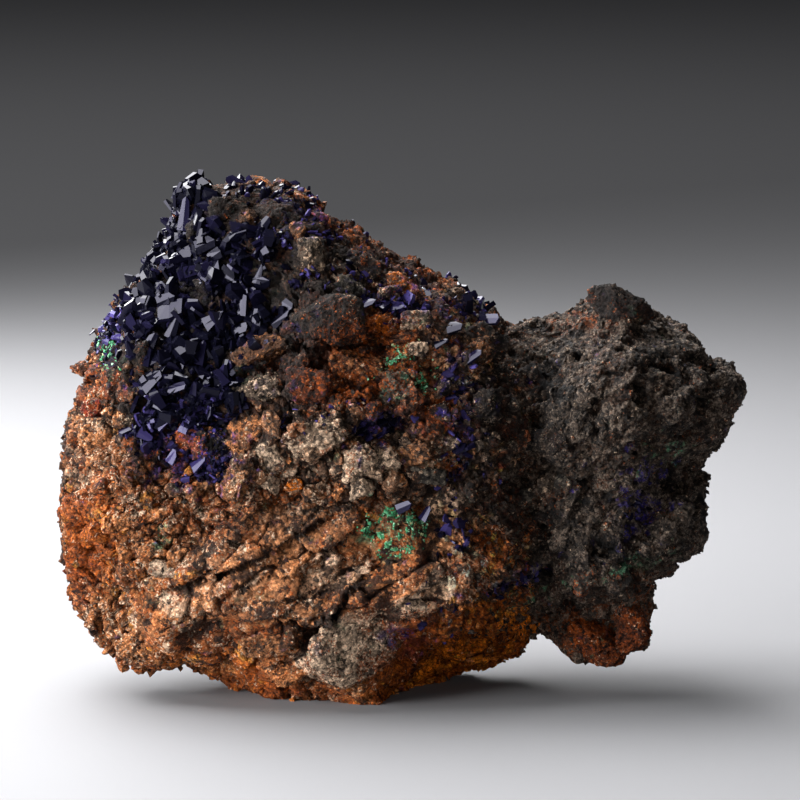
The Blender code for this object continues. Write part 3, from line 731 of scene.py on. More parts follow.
def stone(name, rust, cream, dark, shine, slant, stretch):
    """Stone that takes its colour from the tint and its patches from the stain. Fine crests,
    drawn out along the slant, and grains raise it as bump; the colour is painted darker in the
    hollows between them and lighter on the crests, as painted shade and painted highlight."""
    made, tree, shader = new_finish(name, Roughness=0.85, Specular_IOR_Level=shine)
    place = tree.nodes.new("ShaderNodeTexCoord").outputs["Object"]
    along = node(tree, "ShaderNodeMapping", Rotation=(0, -math.radians(slant), 0), Scale=(stretch, 1, 1))
    along.vector_type = "TEXTURE"
    tree.links.new(place, along.inputs["Vector"])
    stain = attribute(tree, "stain")
    amounts = channels(tree, stain["Color"])
    sooty = node(tree, "ShaderNodeTexNoise", Scale=260.0, Detail=8.0, Roughness=0.84)
    rusty = node(tree, "ShaderNodeTexNoise", Scale=210.0, Detail=8.0, Roughness=0.8)
    chalky = node(tree, "ShaderNodeTexNoise", Scale=420.0, Detail=5.0, Roughness=0.8)
    ribs = node(tree, "ShaderNodeTexNoise", Scale=430.0, Detail=6.0, Roughness=0.72)
    grains = node(tree, "ShaderNodeTexVoronoi", Scale=2300.0, Randomness=1.0)
    crumbs = node(tree, "ShaderNodeTexVoronoi", Scale=1000.0, Randomness=1.0)
    for texture in (sooty, rusty, chalky, grains, crumbs):
        tree.links.new(place, texture.inputs["Vector"])
    tree.links.new(along.outputs["Vector"], ribs.inputs["Vector"])
    grain = channels(tree, grains.outputs["Color"])
    crumb = channels(tree, crumbs.outputs["Color"])
    crest = crested(tree, ribs.outputs["Fac"])
    height = reckon(tree, "ADD", crest, reckon(tree, "MULTIPLY", crumb["Red"], 0.35))
    height = reckon(tree, "SUBTRACT", height, reckon(tree, "MULTIPLY", crumbs.outputs["Distance"], 0.7))
    height = reckon(tree, "SUBTRACT", height, reckon(tree, "MULTIPLY", grains.outputs["Distance"], 0.35))
    # Painted shade and highlight: the colour falls to 0.3 in the low parts of the bump and rises to 1.35 on
    # its crests.
    shaded = ramp(tree, height, 0.05, 0.75, 0.3, 1.35)
    bright = reckon(tree, "MULTIPLY", ramp(tree, grain["Red"], 0.0, 1.0, 0.5, 1.5), shaded)
    bright = reckon(tree, "MULTIPLY", bright, ramp(tree, crumb["Blue"], 0.88, 0.9, 1.0, 0.3))
    rough = stain["Alpha"]
    bright = reckon(tree, "ADD", 1.0, reckon(tree, "MULTIPLY", reckon(tree, "SUBTRACT", bright, 1.0), rough))
    colour = attribute(tree, "tint")["Color"]
    for texture, speck, channel, tone, softness in (
        (rusty, grain["Green"], "Green", rust, 0.03),
        (chalky, grain["Blue"], "Blue", cream, 0.03),
        (sooty, crumb["Green"], "Red", dark, 0.025),
    ):
        patch = ragged(tree, texture.outputs["Fac"], speck, amounts[channel], softness)
        colour = blend_to(tree, reckon(tree, "MULTIPLY", patch, 0.85), colour, tone)
    tree.links.new(scaled(tree, colour, bright), shader.inputs["Base Color"])
    bump = node(tree, "ShaderNodeBump", Distance=0.0009)
    tree.links.new(rough, bump.inputs["Strength"])
    tree.links.new(height, bump.inputs["Height"])
    tree.links.new(bump.outputs["Normal"], shader.inputs["Normal"])
    return made


breccia_finish = stone(
    "breccia stone", paint(150, 72, 24), paint(224, 194, 164), paint(34, 30, 29), 0.3, 22, 1.5
)
gossan_finish = stone(
    "gossan stone", paint(92, 52, 30), paint(112, 98, 86), paint(15, 13, 13), 0.4, 38, 2.3
)

# %% [markdown]
# ## Blocks
#
# Broken rock is blocky: each block has a flat top at a height of its own, a little tilted, and
# a narrow gap round it. A cell gives all of that. The gap is where a point is as near to the
# next seed as to its own, the height is the cell's own number, and the tilt is the way from the
# seed, measured along a direction that the number also picks.

# %% Blocks and ribs
Blocks = namedtuple("Blocks", "height gap name")


def blocks(points, size, seed, gap):
    """Blocks: height = top * (0.3 + 0.7 * number + 0.7 * lean) - 0.7 * gap, and the gap itself,
    1 in the middle of a gap and 0 on a block."""
    cell = cells(points, size, seed)
    top = eased(cell.next - cell.near, 0.0, gap)
    turn = math.tau * np.mod(cell.name * 17.0, 1.0)
    lean = cell.offset[:, 0] * np.cos(turn) + cell.offset[:, 2] * np.sin(turn)
    height = top * (0.3 + 0.7 * cell.name + 0.7 * lean) - 0.7 * (1 - top)
    return Blocks(height, 1 - top, cell.name)


def slanted(points, degrees, stretch):
    """The points turned to that slant in the front view and shortened along it, so that round
    cells come out long."""
    turn = math.radians(degrees)
    along = points[:, 0] * math.cos(turn) + points[:, 2] * math.sin(turn)
    over = points[:, 2] * math.cos(turn) - points[:, 0] * math.sin(turn)
    return np.stack([along / stretch, points[:, 1], over], axis=1)


def bent(points, size, amount, seed):
    """The points moved by smooth noise in each direction."""
    return points + amount * np.stack([noise(points, size, seed + n) for n in range(3)], axis=1)


def crags(points, size, seed):
    """Sharp crests: 1 - 2 * |noise|, in three layers with weights of 1, 0.5 and 0.25, over their sum."""
    layers = (1 - 2 * np.abs(noise(points, size * 0.5**n, seed + 13 * n)) for n in range(3))
    return sum(0.5**n * layer for n, layer in enumerate(layers)) / 1.75


# %% [markdown]
# ## The pale breccia
#
# Three kinds of surface meet here. Low on the left the rock splits into long plates that climb
# to the right. Across the middle it is blocky. Towards the top and the right it crumbles into
# soot-dark grains. Each is made for the whole surface, and the zones blend them.

# %% Plates, blocks and cracks
BEDDED = Oval(-8, 27, 42, 22, 14)
SOOTY = [
    Oval(44, 62, 22, 50, 0),
    Oval(-14, 122, 30, 16, -15),
    Oval(16, 98, 22, 10, -30),
]
BOULDER = Oval(6.75, 9.5, 10.5, 10, 0)
ARCH = Oval(36, 12, 25, 9, 20)
# The arch's ochre, brighter than the rock's own ochre: partly its real colour, partly painted light on an
# underside that lies in shade.
ARCH_OCHRE_AND_PAINTED_LIGHT = paint(244, 128, 34)
ARCH_LIP = [(17.0, 4.0), (22.0, 11.5), (29.0, 17.5), (38.0, 21.5), (47.0, 23.5), (56.0, 22.0)]
TOP_FROM = 121.0
LEFT_FROM = -65.0
SETTLE = 0.5


def crack_share(points):
    """How deep each point is in a crack: 1 on the path, 0 just past its edge."""
    wander = 0.5 * noise(points, 2.4, 91)
    share = np.zeros(len(points))
    for path, width, depth in CRACKS:
        away, _ = from_path(points, path)
        inside = 1 - eased(away + wander, 0.15 * width, 0.3 + 0.35 * width)
        share = np.maximum(share, depth / 3 * inside)
    return share


def breccia(points, quads):
    """The surface raised along its normal by plates, blocks and crumbs, each in its zone, by a
    lip over the arch, and lowered in the cracks; and the tint and stain of each point."""
    normal, _ = outward_normals(points, quads)
    front = eased(-points[:, 1], -5, 10)
    bedded = front * eased(oval_share(points, BEDDED), 0.3, 0.5)
    sooty = front * np.clip(sum(eased(oval_share(points, zone), 0.3, 0.7) for zone in SOOTY), 0, 1)
    boulder = front * eased(oval_share(points, BOULDER), 0.35, 0.5)
    valley = front * eased(oval_share(points, SOOTY[0]), 0.3, 0.7)
    warped = bent(points, 7.0, 1.3, 200)
    plate = blocks(slanted(warped, 27, 2.5), 7.4, 205, 0.055)
    leaf = blocks(slanted(warped, 20, 2.4), 3.4, 208, 0.07)
    block = blocks(warped, 5.6, 215, 0.14)
    clast = blocks(bent(points, 2.0, 0.5, 212), 2.2, 218, 0.24)
    crumb = blocks(bent(points, 1.2, 0.35, 221), 1.0, 224, 0.4)
    split = eased(noise(points, 9.0, 236), -0.3, 0.3)
    plates = 1.8 * plate.height + 0.5 * split * leaf.height + 0.12 * crumb.height - 0.8
    knobs = 1.7 * block.height + 0.7 * clast.height + 0.3 * crumb.height - 0.9
    crumbs = (1.3 + 1.0 * valley) * crags(points, 6.0, 230) + (0.5 + 0.5 * valley) * clast.height
    crumbs += 0.4 * crumb.height - 0.3 - 0.5 * valley
    height = plates * bedded + (1 - bedded) * (knobs * (1 - sooty) + crumbs * sooty)
    height = height * (1 - 0.9 * boulder) - 0.5 * boulder
    height *= 1 - 0.25 * eased(points[:, 2], 112, 122)
    lip, above = from_path(points, ARCH_LIP)
    height += front * np.where(above > 0, 2.6 * np.exp(-lip / 2.5), -0.8 * np.exp(-((lip / 9.0) ** 2)))
    height += 0.22 * (1 - 0.3 * bedded) * crags(points, 1.6, 240)
    groove = crack_share(points)
    height -= 2.2 * groove
    shares = kind_shares(points)
    pick = np.where(bedded > 0.5, plate.name, np.where(clast.name > 0.5, block.name, clast.name))
    shade = np.where(bedded > 0.5, leaf.name, clast.name)
    tint = block_colour(shares, pick, shade) * (1 + (0.3 + 0.15 * sooty) * (2 * crumb.name - 1))[:, None]
    # The 2.1 * valley term is painted light: it lightens the valley between the two masses, which lies in
    # shade.
    tint = np.minimum(tint * (1.35 + 0.1 * bedded + 0.6 * sooty + 2.1 * valley)[:, None], 0.85)
    hollows = np.maximum(0.9 * block.gap, np.maximum(0.6 * clast.gap, 0.5 * crumb.gap * sooty))
    gap = np.maximum(bedded * np.maximum(plate.gap, 0.6 * split * leaf.gap), (1 - bedded) * hollows)
    gap = np.clip(np.maximum(gap * (1 - boulder), groove), 0, 1)
    arch = front * np.clip(1.3 * oval_share(points, ARCH), 0, 1) * eased(-above * lip, -1.5, 1.5)
    # Painted shade: a dark grey line along the edge of the lip over the arch.
    lip_painted_shade = (0.75 * front * np.exp(-((lip / 2.2) ** 2)) * eased(above * lip, -1.5, 0.5))[:, None]
    # Ochre and painted light: the shaded underside of the arch takes the bright ochre above, at up to 1.3
    # times its tone.
    cover = 0.85 * arch[:, None]
    tint = tint * (1 - cover) + ARCH_OCHRE_AND_PAINTED_LIGHT * cover * (0.7 + 0.6 * crumb.name)[:, None]
    tint = mixed(tint, paint(50, 46, 42), lip_painted_shade)
    tint = mixed(tint, paint(34, 21, 16), gap[:, None])
    patchy = 0.5 + 0.5 * layered(points, 5.0, 250)
    dark = share_of(shares, "black", "brown", "grey") + 0.8 * patchy - 0.1
    # The - 0.5 * valley term is painted light as well: less dark stain in the shaded valley.
    dark = dark + 0.16 * bedded + 0.3 * gap - 0.5 * valley
    dark -= share_of(shares, "ochre") + 0.4 * share_of(shares, "peach", "red")
    rust = share_of(shares, "rust", "ochre", "red") + 0.5 * (0.5 + 0.5 * layered(points, 6.0, 260))
    rust = rust + 0.1 * gap - 0.8 * arch
    cream = 0.7 * share_of(shares, "cream", "peach") + 0.3 * layered(points, 4.0, 265) + 0.06 * bedded - 0.02
    stain = np.clip(np.stack([dark, rust, cream, 1 - 0.2 * bedded], axis=1), 0, 1)
    raised = points + normal * height[:, None]
    raised[:, 2] -= SETTLE * np.maximum(raised[:, 2] - TOP_FROM, 0)
    raised[:, 0] += SETTLE * np.maximum(LEFT_FROM - raised[:, 0], 0)
    return raised, stained(points, tint), stain


def rest_level(points):
    """Nothing reaches below the table."""
    points[:, 2] = np.maximum(points[:, 2], 0.0)
    return points


def rock_piece(name, points, tint, stain, finish):
    """One mass of the rock, smoothly shaded."""
    corners, counts = ball_quads.reshape(-1), np.full(len(ball_quads), 4)
    rest_level(points)
    smooth(piece_from(name, points, corners, counts, tint, stain, finish, ["matrix"]))


pale_points, pale_tint, pale_stain = breccia(pale_points, ball_quads)
rock_piece("pale_breccia", pale_points, pale_tint, pale_stain, breccia_finish)

# %% [markdown]
# ## The dark gossan
#
# What is left when iron sulphides rust away: a dark sponge of limonite, ribbed and fibrous. Its
# cells are drawn out along a slant from the upper right to the lower left, with sharp crests
# between them, and small pits are sunk into it.

# %% Ribs and pits
RIDGE_LINE = [(43.0, 92.0), (47.5, 86.0), (51.0, 79.5), (57.5, 74.0)]
RUSTY_FEET = [Oval(70, 8, 26, 10, 0), Oval(79, 16, 5, 10, 0)]
RUSTY_TOPS = [Oval(66, 96, 4, 4, 0), Oval(57, 93, 3, 2, 0)]


def gossan(points, quads):
    """Sharp crests in three sizes, drawn out along the slant, with crumbs on them and pits where
    a slow noise is high, and the tint and stain of each point."""
    normal, _ = outward_normals(points, quads)
    warped = bent(points, 8.0, 2.4, 300)
    ridge = crags(slanted(bent(points, 12.0, 4.5, 300), 38, 1.8), 11.0, 305)
    fibre = crags(slanted(warped, 38, 2.2), 4.0, 312)
    grit = crags(bent(points, 2.0, 0.6, 330), 1.9, 318)
    hair = crags(slanted(bent(points, 1.5, 0.5, 335), 30, 1.8), 1.0, 326)
    crumb = blocks(bent(points, 1.5, 0.4, 321), 1.2, 324, 0.5)
    small_pit = eased(noise(points, 3.4, 330), 0.45, 0.8)
    pit = np.maximum(small_pit, eased(noise(warped, 7.5, 333), 0.42, 0.75))
    fine = 1.6 * fibre + 0.55 * grit + 0.3 * hair + 0.25 * crumb.height
    wall, _ = from_path(points, RIDGE_LINE)
    wall = 2.6 * np.exp(-((wall / 1.3) ** 2)) * eased(-points[:, 1], 0, 10)
    height = 2.6 * ridge + fine - 2.6 * pit - 2.0 + wall
    height *= 1 - 0.75 * eased(-points[:, 2], -18, -7)
    crown = eased(points[:, 2], 80, 92)
    height = height * (1 - 0.45 * crown) - 1.8 * crown
    tones = linear((58, 49, 43), (46, 37, 32), (34, 28, 25), (70, 60, 52))
    tint = tones[(crumb.name * 3.99).astype(int)] * (0.7 + 0.5 * np.mod(crumb.name * 7, 1))[:, None]
    brown = np.clip(0.4 + 0.9 * layered(points, 14.0, 345), 0, 1)[:, None]
    tint = mixed(tint, paint(78, 54, 39), 0.5 * brown)
    # Painted light: the gossan's left edge, in the shaded valley beside the pale mass, is lightened up to
    # 1.9 times.
    tint = tint * (1 + 0.9 * eased(-points[:, 0], -54, -44))[:, None]
    # Painted shade: in the valleys between the ribs, in the pits and between the fine crests the tint sinks
    # towards near-black, the dark stain grows and the pale one shrinks.
    hollow = 0.9 * eased(-ridge, -0.1, 0.7) + pit + 0.9 * eased(-fine, -0.4, 1.2)
    hollow = np.clip(hollow, 0, 1)[:, None]
    tint = tint * (1 - 0.92 * hollow) + paint(9, 8, 8) * 0.92 * hollow
    low = sum(oval_share(points, oval) for oval in RUSTY_FEET)
    high = sum(oval_share(points, oval) for oval in RUSTY_TOPS)
    rust = 0.2 + 0.3 * layered(points, 9.0, 340) + 0.7 * low + 0.8 * high
    rust += 0.25 * eased(-points[:, 0], -62, -48)
    dark = 0.4 + 0.35 * hollow[:, 0] + 0.25 * layered(points, 6.0, 350)
    cream = 0.25 + 0.3 * fine - 0.2 * hollow[:, 0]
    stain = np.clip(np.stack([dark, rust, cream], axis=1), 0, 1)
    orange = np.clip(1.5 * low + high, 0, 1) * np.clip(0.75 + layered(points, 3.0, 355), 0, 1)
    orange = orange[:, None]
    tint = tint * (1 - 0.8 * orange) + paint(190, 92, 22) * 0.8 * orange
    stain[:, 0] *= 1 - 0.8 * orange[:, 0]
    return points + normal * height[:, None], stained(points, tint), stain


dark_points, dark_tint, dark_stain = gossan(dark_points, ball_quads)
rock_piece("dark_gossan", dark_points, dark_tint, dark_stain, gossan_finish)

# %% [markdown]
# ## Scattering things over the rock
#
# Grains, crystals and green tufts all sit on the rock. Each is rooted at a point of the rock's
# own mesh, drawn at random with a chance in proportion to the area there and to how well the
# place suits it, so nothing floats and nothing is spread evenly.

# %% Roots
pale_normals, pale_areas = outward_normals(pale_points, ball_quads)
dark_normals, dark_areas = outward_normals(dark_points, ball_quads)
rock = {
    "points": np.concatenate([pale_points, dark_points]),
    "normals": np.concatenate([pale_normals, dark_normals]),
    "areas": np.concatenate([pale_areas, dark_areas]),
}
rock_x, _, rock_z = rock["points"].T
UNLIKELY = 1e-9


def roots(random, count, suits):
    """Places drawn from the rock's points with a chance of area times suits, and their normals."""
    chance = rock["areas"] * suits
    drawn = random.choice(len(chance), size=count, p=chance / chance.sum())
    normals = rock["normals"][drawn]
    shift = random.uniform(-0.5, 0.5, (count, 3)) * np.sqrt(rock["areas"][drawn])[:, None]
    shift -= normals * (shift * normals).sum(axis=1, keepdims=True)
    return rock["points"][drawn] + shift, normals


def repeated(shape_faces, copies, points_each):
    """The corners and sizes of the faces of one small shape, repeated for every copy."""
    corners = np.concatenate([np.array(face) for face in shape_faces])
    sizes = np.array([len(face) for face in shape_faces])
    offsets = points_each * np.arange(copies)
    return (corners[None, :] + offsets[:, None]).reshape(-1), np.tile(sizes, copies)


def turned_frames(random, normals, spread):
    """Three axes at right angles for each normal: the first near the normal, off by the spread."""
    first = unit(normals + spread * random.normal(size=normals.shape))
    second = unit(np.cross(first, random.normal(size=normals.shape)))
    return first, second, np.cross(first, second)


# %% [markdown]
# ## Azurite blades
#
# Azurite grows here as flat blades with a slanting, roof-like end. One blade is a six-sided
# prism, flattened, tapered to a wedge, and cut off at the top by two planes that meet in a ridge.
# Modelling a few and copying them would repeat the same outline, so every blade gets its own
# length, width, thickness and end slopes, and all of them are computed at once. The faces stay
# flat, because flat faces are what makes a crystal flash.

# %% Blades
BLADE_CORNERS = 12
BLADE_FACES = [(5, 4, 3, 2, 1, 0), (6, 7, 10, 11), (7, 8, 9, 10)]
BLADE_FACES += [(n, (n + 1) % 6, 6 + (n + 1) % 6, 6 + n) for n in range(6)]
SECTION = np.array([(-1, -0.7), (0, -1), (1, -0.7), (1, 0.7), (0, 1), (-1, 0.7)])


def blade_points(random, places, frames, lengths, widths, thicks, sunk):
    """The twelve points of each blade: a root ring sunk into the rock, and a top ring at
    height = length - slope * distance from the middle, with a slope of its own on each side."""
    count = len(places)
    along, across, through = frames
    slopes = random.uniform(0.15, 1.0, (count, 2))
    u = SECTION[None, :, 0] * 0.5 * widths[:, None]
    v = SECTION[None, :, 1] * 0.5 * thicks[:, None]
    slope = np.where(SECTION[None, :, 0] < 0, slopes[:, :1], slopes[:, 1:])
    top = lengths[:, None] - slope * np.abs(u)
    rings = []
    taper = random.uniform(0.45, 1.0, (count, 1))
    wedge = random.uniform(0.25, 0.9, (count, 1))
    root = np.repeat(-sunk * lengths[:, None], 6, axis=1)
    for height, narrow, thin in ((root, 1.0, 1.0), (top, taper, wedge)):
        ring = along[:, None] * height[..., None]
        ring = ring + across[:, None] * (u * narrow)[..., None] + through[:, None] * (v * thin)[..., None]
        rings.append(places[:, None] + ring)
    return np.concatenate(rings, axis=1)


def crystal(name, deep, bright):
    """Dark glassy azurite: nearly black where it is thick, violet blue where it is thin, by the
    tint. Its faces are mirrors, a little frosted."""
    made, tree, shader = new_finish(
        name, Roughness=0.1, IOR=1.73, Specular_IOR_Level=0.09, Specular_Tint=(0.8, 0.78, 1.0, 1)
    )
    amount = channels(tree, attribute(tree, "tint")["Color"])
    thin = tree.nodes.new("ShaderNodeMix")
    thin.data_type = "RGBA"
    thin.inputs["A"].default_value = (*deep, 1)
    thin.inputs["B"].default_value = (*bright, 1)
    tree.links.new(amount["Red"], thin.inputs["Factor"])
    tree.links.new(thin.outputs["Result"], shader.inputs["Base Color"])
    return made


azurite_finish = crystal("azurite", (0.003, 0.003, 0.007), (0.085, 0.066, 0.25))


def azurite_piece(name, points, glows, nodes):
    """A piece of blades with a glow each, which says how blue the blade is."""
    tint = np.repeat(glows, BLADE_CORNERS)[:, None] * np.ones((1, 3))
    corners, sizes = repeated(BLADE_FACES, len(glows), BLADE_CORNERS)
    flat_points = rest_level(points.reshape(-1, 3))
    return piece_from(name, flat_points, corners, sizes, tint, tint, azurite_finish, nodes)


def blade_piece(name, seed, count, suits, shortest, longest, spread, glow, nodes=()):
    """A piece of azurite blades: rooted where it suits, mostly short with a few long, as
    shortest + (longest - shortest) * number ** 2."""
    random = np.random.RandomState(seed)
    places, normals = roots(random, count, suits)
    lengths = shortest + (longest - shortest) * random.uniform(0, 1, count) ** 2
    frames = turned_frames(random, normals + [0, -0.5, 0.15], spread)
    widths = lengths * random.uniform(0.75, 1.6, count)
    thicks = lengths * random.uniform(0.3, 0.8, count)
    points = blade_points(random, places, frames, lengths, widths, thicks, 0.3)
    return azurite_piece(name, points, glow * random.uniform(0, 1, count) ** 3, nodes)


BARE_OCHRE = Oval(-33.5, 64.0, 4.0, 7.0, 10)
POCKET_CENTRE = (-31.0, 90.0)
POCKET_OUTLINE = [
    (-36.5, 124.5), (-31.5, 123.5), (-27.0, 118.0), (-20.0, 114.5), (-14.0, 113.0),
    (-8.0, 106.0), (-7.5, 99.0), (-13.0, 92.5), (-16.0, 87.0), (-21.0, 82.0), (-20.0, 75.0),
    (-25.0, 69.0), (-23.5, 62.0), (-31.0, 56.5), (-37.0, 60.5), (-46.0, 62.5), (-49.0, 70.0),
    (-45.0, 78.0), (-50.0, 86.0), (-48.5, 92.0), (-51.0, 97.0), (-45.5, 104.0), (-41.5, 112.0),
]


def within(points, outline, centre, fade):
    """1 well inside the outline in the front view, 0 outside, over the fade in millimetres."""
    dx, dz = points[:, 0] - centre[0], points[:, 2] - centre[1]
    inside = reach_of(outline, centre, np.arctan2(dz, dx)) - np.hypot(dx, dz)
    return eased(inside, -fade, fade)


outside = rock["normals"][:, 1] < 0.35
in_pocket = within(rock["points"], POCKET_OUTLINE, POCKET_CENTRE, 1.5) * outside
upper_pocket = in_pocket * eased(rock_z, 68, 78)
patchy = eased(layered(rock["points"], 5.0, 400), -0.2, 0.25)
drape = in_pocket * (1 - eased(rock_z, 72, 80))
drape *= 1 - eased(oval_share(rock["points"], BARE_OCHRE), 0.3, 0.6)
blade_piece(
    "azurite_pocket_blades", 11, 460, upper_pocket * (0.3 + patchy), 2.2, 5.2, 0.8, 0.05, ["azurite_pocket"]
)
blade_piece("azurite_pocket_small", 12, 900, upper_pocket * (0.1 + patchy), 0.8, 3.0, 0.9, 0.12)
blade_piece("azurite_drape", 13, 950, drape * (0.02 + patchy), 0.5, 2.4, 0.9, 0.5)

# %% [markdown]
# ## The smaller clusters
#
# Azurite also grew in seams and nests between the clasts. Each cluster that can be made out on
# its own is a piece of its own, and a last piece holds the loose blades that are sprinkled over
# the seams between them.

# %% Clusters
Nest = namedtuple("Nest", "name x z wide high turn count shortest longest glow nodes")
NESTS = [
    Nest("azurite_ridge_blades", 36.0, 95.5, 5.5, 2.8, -25, 40, 1.0, 3.6, 0.4, ["azurite_ridge"]),
    Nest("azurite_seam_blades", 17.0, 98.0, 8.0, 3.0, -12, 150, 0.8, 2.8, 0.8, ["azurite_upper_seam"]),
    Nest("azurite_middle_blades", 11.0, 69.8, 5.5, 3.0, 0, 130, 0.8, 3.2, 0.3, ["azurite_middle"]),
    Nest("azurite_right_blades", 31.5, 72.0, 2.6, 13.0, 5, 120, 0.8, 2.8, 0.8, ["azurite_right_seam"]),
    Nest("azurite_shelf_blades", 30.4, 43.0, 4.4, 6.2, 0, 80, 0.9, 3.2, 0.4, ["azurite_shelf"]),
    Nest("azurite_top_blades", -18.0, 124.0, 9.0, 3.5, -8, 90, 0.9, 3.4, 0.2, []),
    Nest("azurite_edge_blades", -54.5, 92.0, 3.5, 9.0, 15, 120, 0.5, 2.4, 0.9, []),
    Nest("azurite_ledge_blades", 45.0, 28.5, 7.0, 1.6, 15, 70, 0.5, 1.8, 1.0, []),
]


def nest_share(nest):
    """How well each place suits the nest: 1 at its middle, fading past its radii, on the front."""
    oval = Oval(nest.x, nest.z, nest.wide, nest.high, nest.turn)
    return eased(oval_share(rock["points"], oval), 0.2, 0.7) * outside


for number, nest in enumerate(NESTS):
    blade_piece(
        nest.name, 30 + number, nest.count, nest_share(nest) + UNLIKELY, nest.shortest, nest.longest, 0.8,
        nest.glow, nest.nodes,
    )
SEAMS = [
    Oval(5, 104, 26, 7, -28, 0.8), Oval(-8, 115, 12, 8, -20, 1.0), Oval(20, 97, 16, 6, -20, 0.9),
    Oval(33, 76, 5, 18, 10, 0.8), Oval(5, 72, 20, 5, 8, 0.6), Oval(31, 56, 4, 10, 0, 0.5),
    Oval(-55, 90, 6, 12, 10, 1.2), Oval(26, 22, 5, 8, 20, 0.9), Oval(44, 28, 8, 3, 10, 1.0),
    Oval(76, 50, 4, 9, -35, 0.5), Oval(-30, 62, 10, 7, 0, 0.8),
]
seam = sum(zone.weight * oval_share(rock["points"], zone) ** 2 for zone in SEAMS) * outside * patchy
blade_piece("azurite_sprinkle", 50, 1600, seam + UNLIKELY, 0.4, 1.7, 0.9, 1.0)

# %% [markdown]
# ## The blades that flash
#
# In the photograph some blades lie with a broad face turned between the lamp and the lens, and
# flash a greyish lilac. They can be told apart, so they stand in a table, with the place of the
# middle, the length, the width and the slant in the front view. Each broad face is turned, give
# or take, to the direction halfway between the lens and the key lamp, or, high on the right
# where the key lamp doesn't reach, halfway between the lens and the back lamp.

# %% Flashing blades
Flash = namedtuple("Flash", "x z long wide slant glow")
FLASHES = [
    Flash(-30.0, 114.7, 5.5, 3.6, 20, 0.0), Flash(-28.0, 108.2, 5.5, 4.6, 60, 0.0),
    Flash(-24.5, 106.9, 4.6, 3.4, -30, 0.0), Flash(-33.0, 108.2, 5.0, 3.0, 10, 0.1),
    Flash(-16.7, 107.2, 5.0, 2.4, 80, 0.0), Flash(-20.8, 99.6, 5.2, 3.0, 85, 0.0),
    Flash(-27.5, 96.3, 6.2, 3.8, 30, 0.0), Flash(-37.5, 94.5, 6.4, 3.4, 70, 0.0),
    Flash(-48.0, 95.0, 5.0, 3.0, -40, 0.1), Flash(-21.8, 93.6, 5.8, 2.6, 10, 0.0),
    Flash(-17.2, 96.3, 4.8, 2.6, 80, 0.0), Flash(-35.0, 87.0, 5.8, 4.2, 50, 0.0),
    Flash(-30.8, 88.0, 6.4, 3.0, 80, 0.1), Flash(-42.5, 81.3, 6.4, 4.4, 35, 0.0),
    Flash(-36.7, 79.2, 6.4, 2.8, 5, 0.1), Flash(-32.5, 77.8, 6.4, 3.0, 75, 0.1),
    Flash(-15.5, 119.5, 4.4, 4.0, 50, 0.0), Flash(-47.3, 103.6, 7.6, 2.6, 35, 0.3),
    Flash(-31.6, 127.8, 6.0, 3.4, 70, 0.0), Flash(-28.8, 126.6, 5.4, 1.8, -60, 0.2),
    Flash(-35.4, 122.5, 8.5, 3.4, 85, 0.1), Flash(-39.5, 101.0, 5.0, 3.4, 20, 0.0),
    Flash(-43.0, 90.5, 5.2, 3.6, 60, 0.0), Flash(-24.5, 84.0, 4.6, 3.0, 40, 0.2),
    Flash(-39.5, 71.0, 4.4, 3.0, 30, 0.5), Flash(-34.5, 70.0, 3.6, 2.6, 70, 0.6),
    Flash(-44.0, 67.5, 4.0, 2.8, -30, 0.4), Flash(-31.0, 61.0, 4.6, 3.0, 30, 0.5),
    Flash(-37.5, 62.5, 3.6, 2.6, 60, 0.6), Flash(28.8, 44.3, 8.2, 2.8, 48, 0.0),
    Flash(29.6, 49.6, 7.4, 2.8, 10, 0.1), Flash(18.6, 50.4, 4.5, 2.6, 20, 0.1),
    Flash(33.2, 38.5, 5.2, 3.0, -25, 0.2), Flash(34.3, 57.4, 5.6, 4.8, 15, 0.2),
    Flash(23.8, 48.8, 4.0, 2.4, 60, 0.2), Flash(31.3, 77.9, 7.2, 2.6, -55, 0.2),
    Flash(29.4, 82.6, 3.4, 2.2, -50, 0.3), Flash(35.5, 87.2, 4.6, 3.2, 20, 0.1),
    Flash(27.6, 90.3, 3.6, 2.4, 20, 0.0), Flash(30.9, 94.2, 4.0, 3.6, 5, 0.0),
    Flash(36.6, 96.0, 12.0, 3.6, -22, 0.2), Flash(14.0, 99.6, 3.4, 2.6, 70, 0.1),
    Flash(17.0, 99.0, 3.8, 2.2, -20, 0.3), Flash(9.6, 100.0, 4.6, 2.6, 15, 0.2),
    Flash(32.0, 67.0, 6.2, 2.2, 75, 0.7), Flash(13.8, 71.6, 4.6, 3.4, 50, 0.0),
    Flash(8.2, 69.0, 3.8, 2.8, -20, 0.0),
]
HALFWAY = np.array([-0.50, -0.84, 0.18])
HALFWAY_RIGHT = np.array([-0.42, -0.51, 0.75])
RIGHT_FROM = 5.0
UPPER_FROM = 62.0
LIFT = 1.3
SHELF_LIFT = 2.4
SIGHT_SLOPE = 0.1405
NEAR_PLANE = 38.0
NEARBY = 1.8


def front_place(x, seen):
    """The rock's foremost point near a spot of the front view, and its normal. The height is as
    the camera sees it, in the plane 38 mm in front: z = seen - tan(8 degrees) * (y + 38)."""
    height = seen
    for _ in range(4):
        away = np.hypot(rock_x - x, rock_z - height)
        near = np.flatnonzero((away < NEARBY) & (rock["normals"][:, 1] < 0.2))
        chosen = near[np.argsort(rock["points"][near, 1])[: max(1, len(near) // 3)]]
        depth = rock["points"][chosen, 1].mean()
        height = 0.5 * height + 0.5 * (seen - SIGHT_SLOPE * (depth + NEAR_PLANE))
    return np.array([x, depth, height]), rock["normals"][chosen].mean(axis=0)


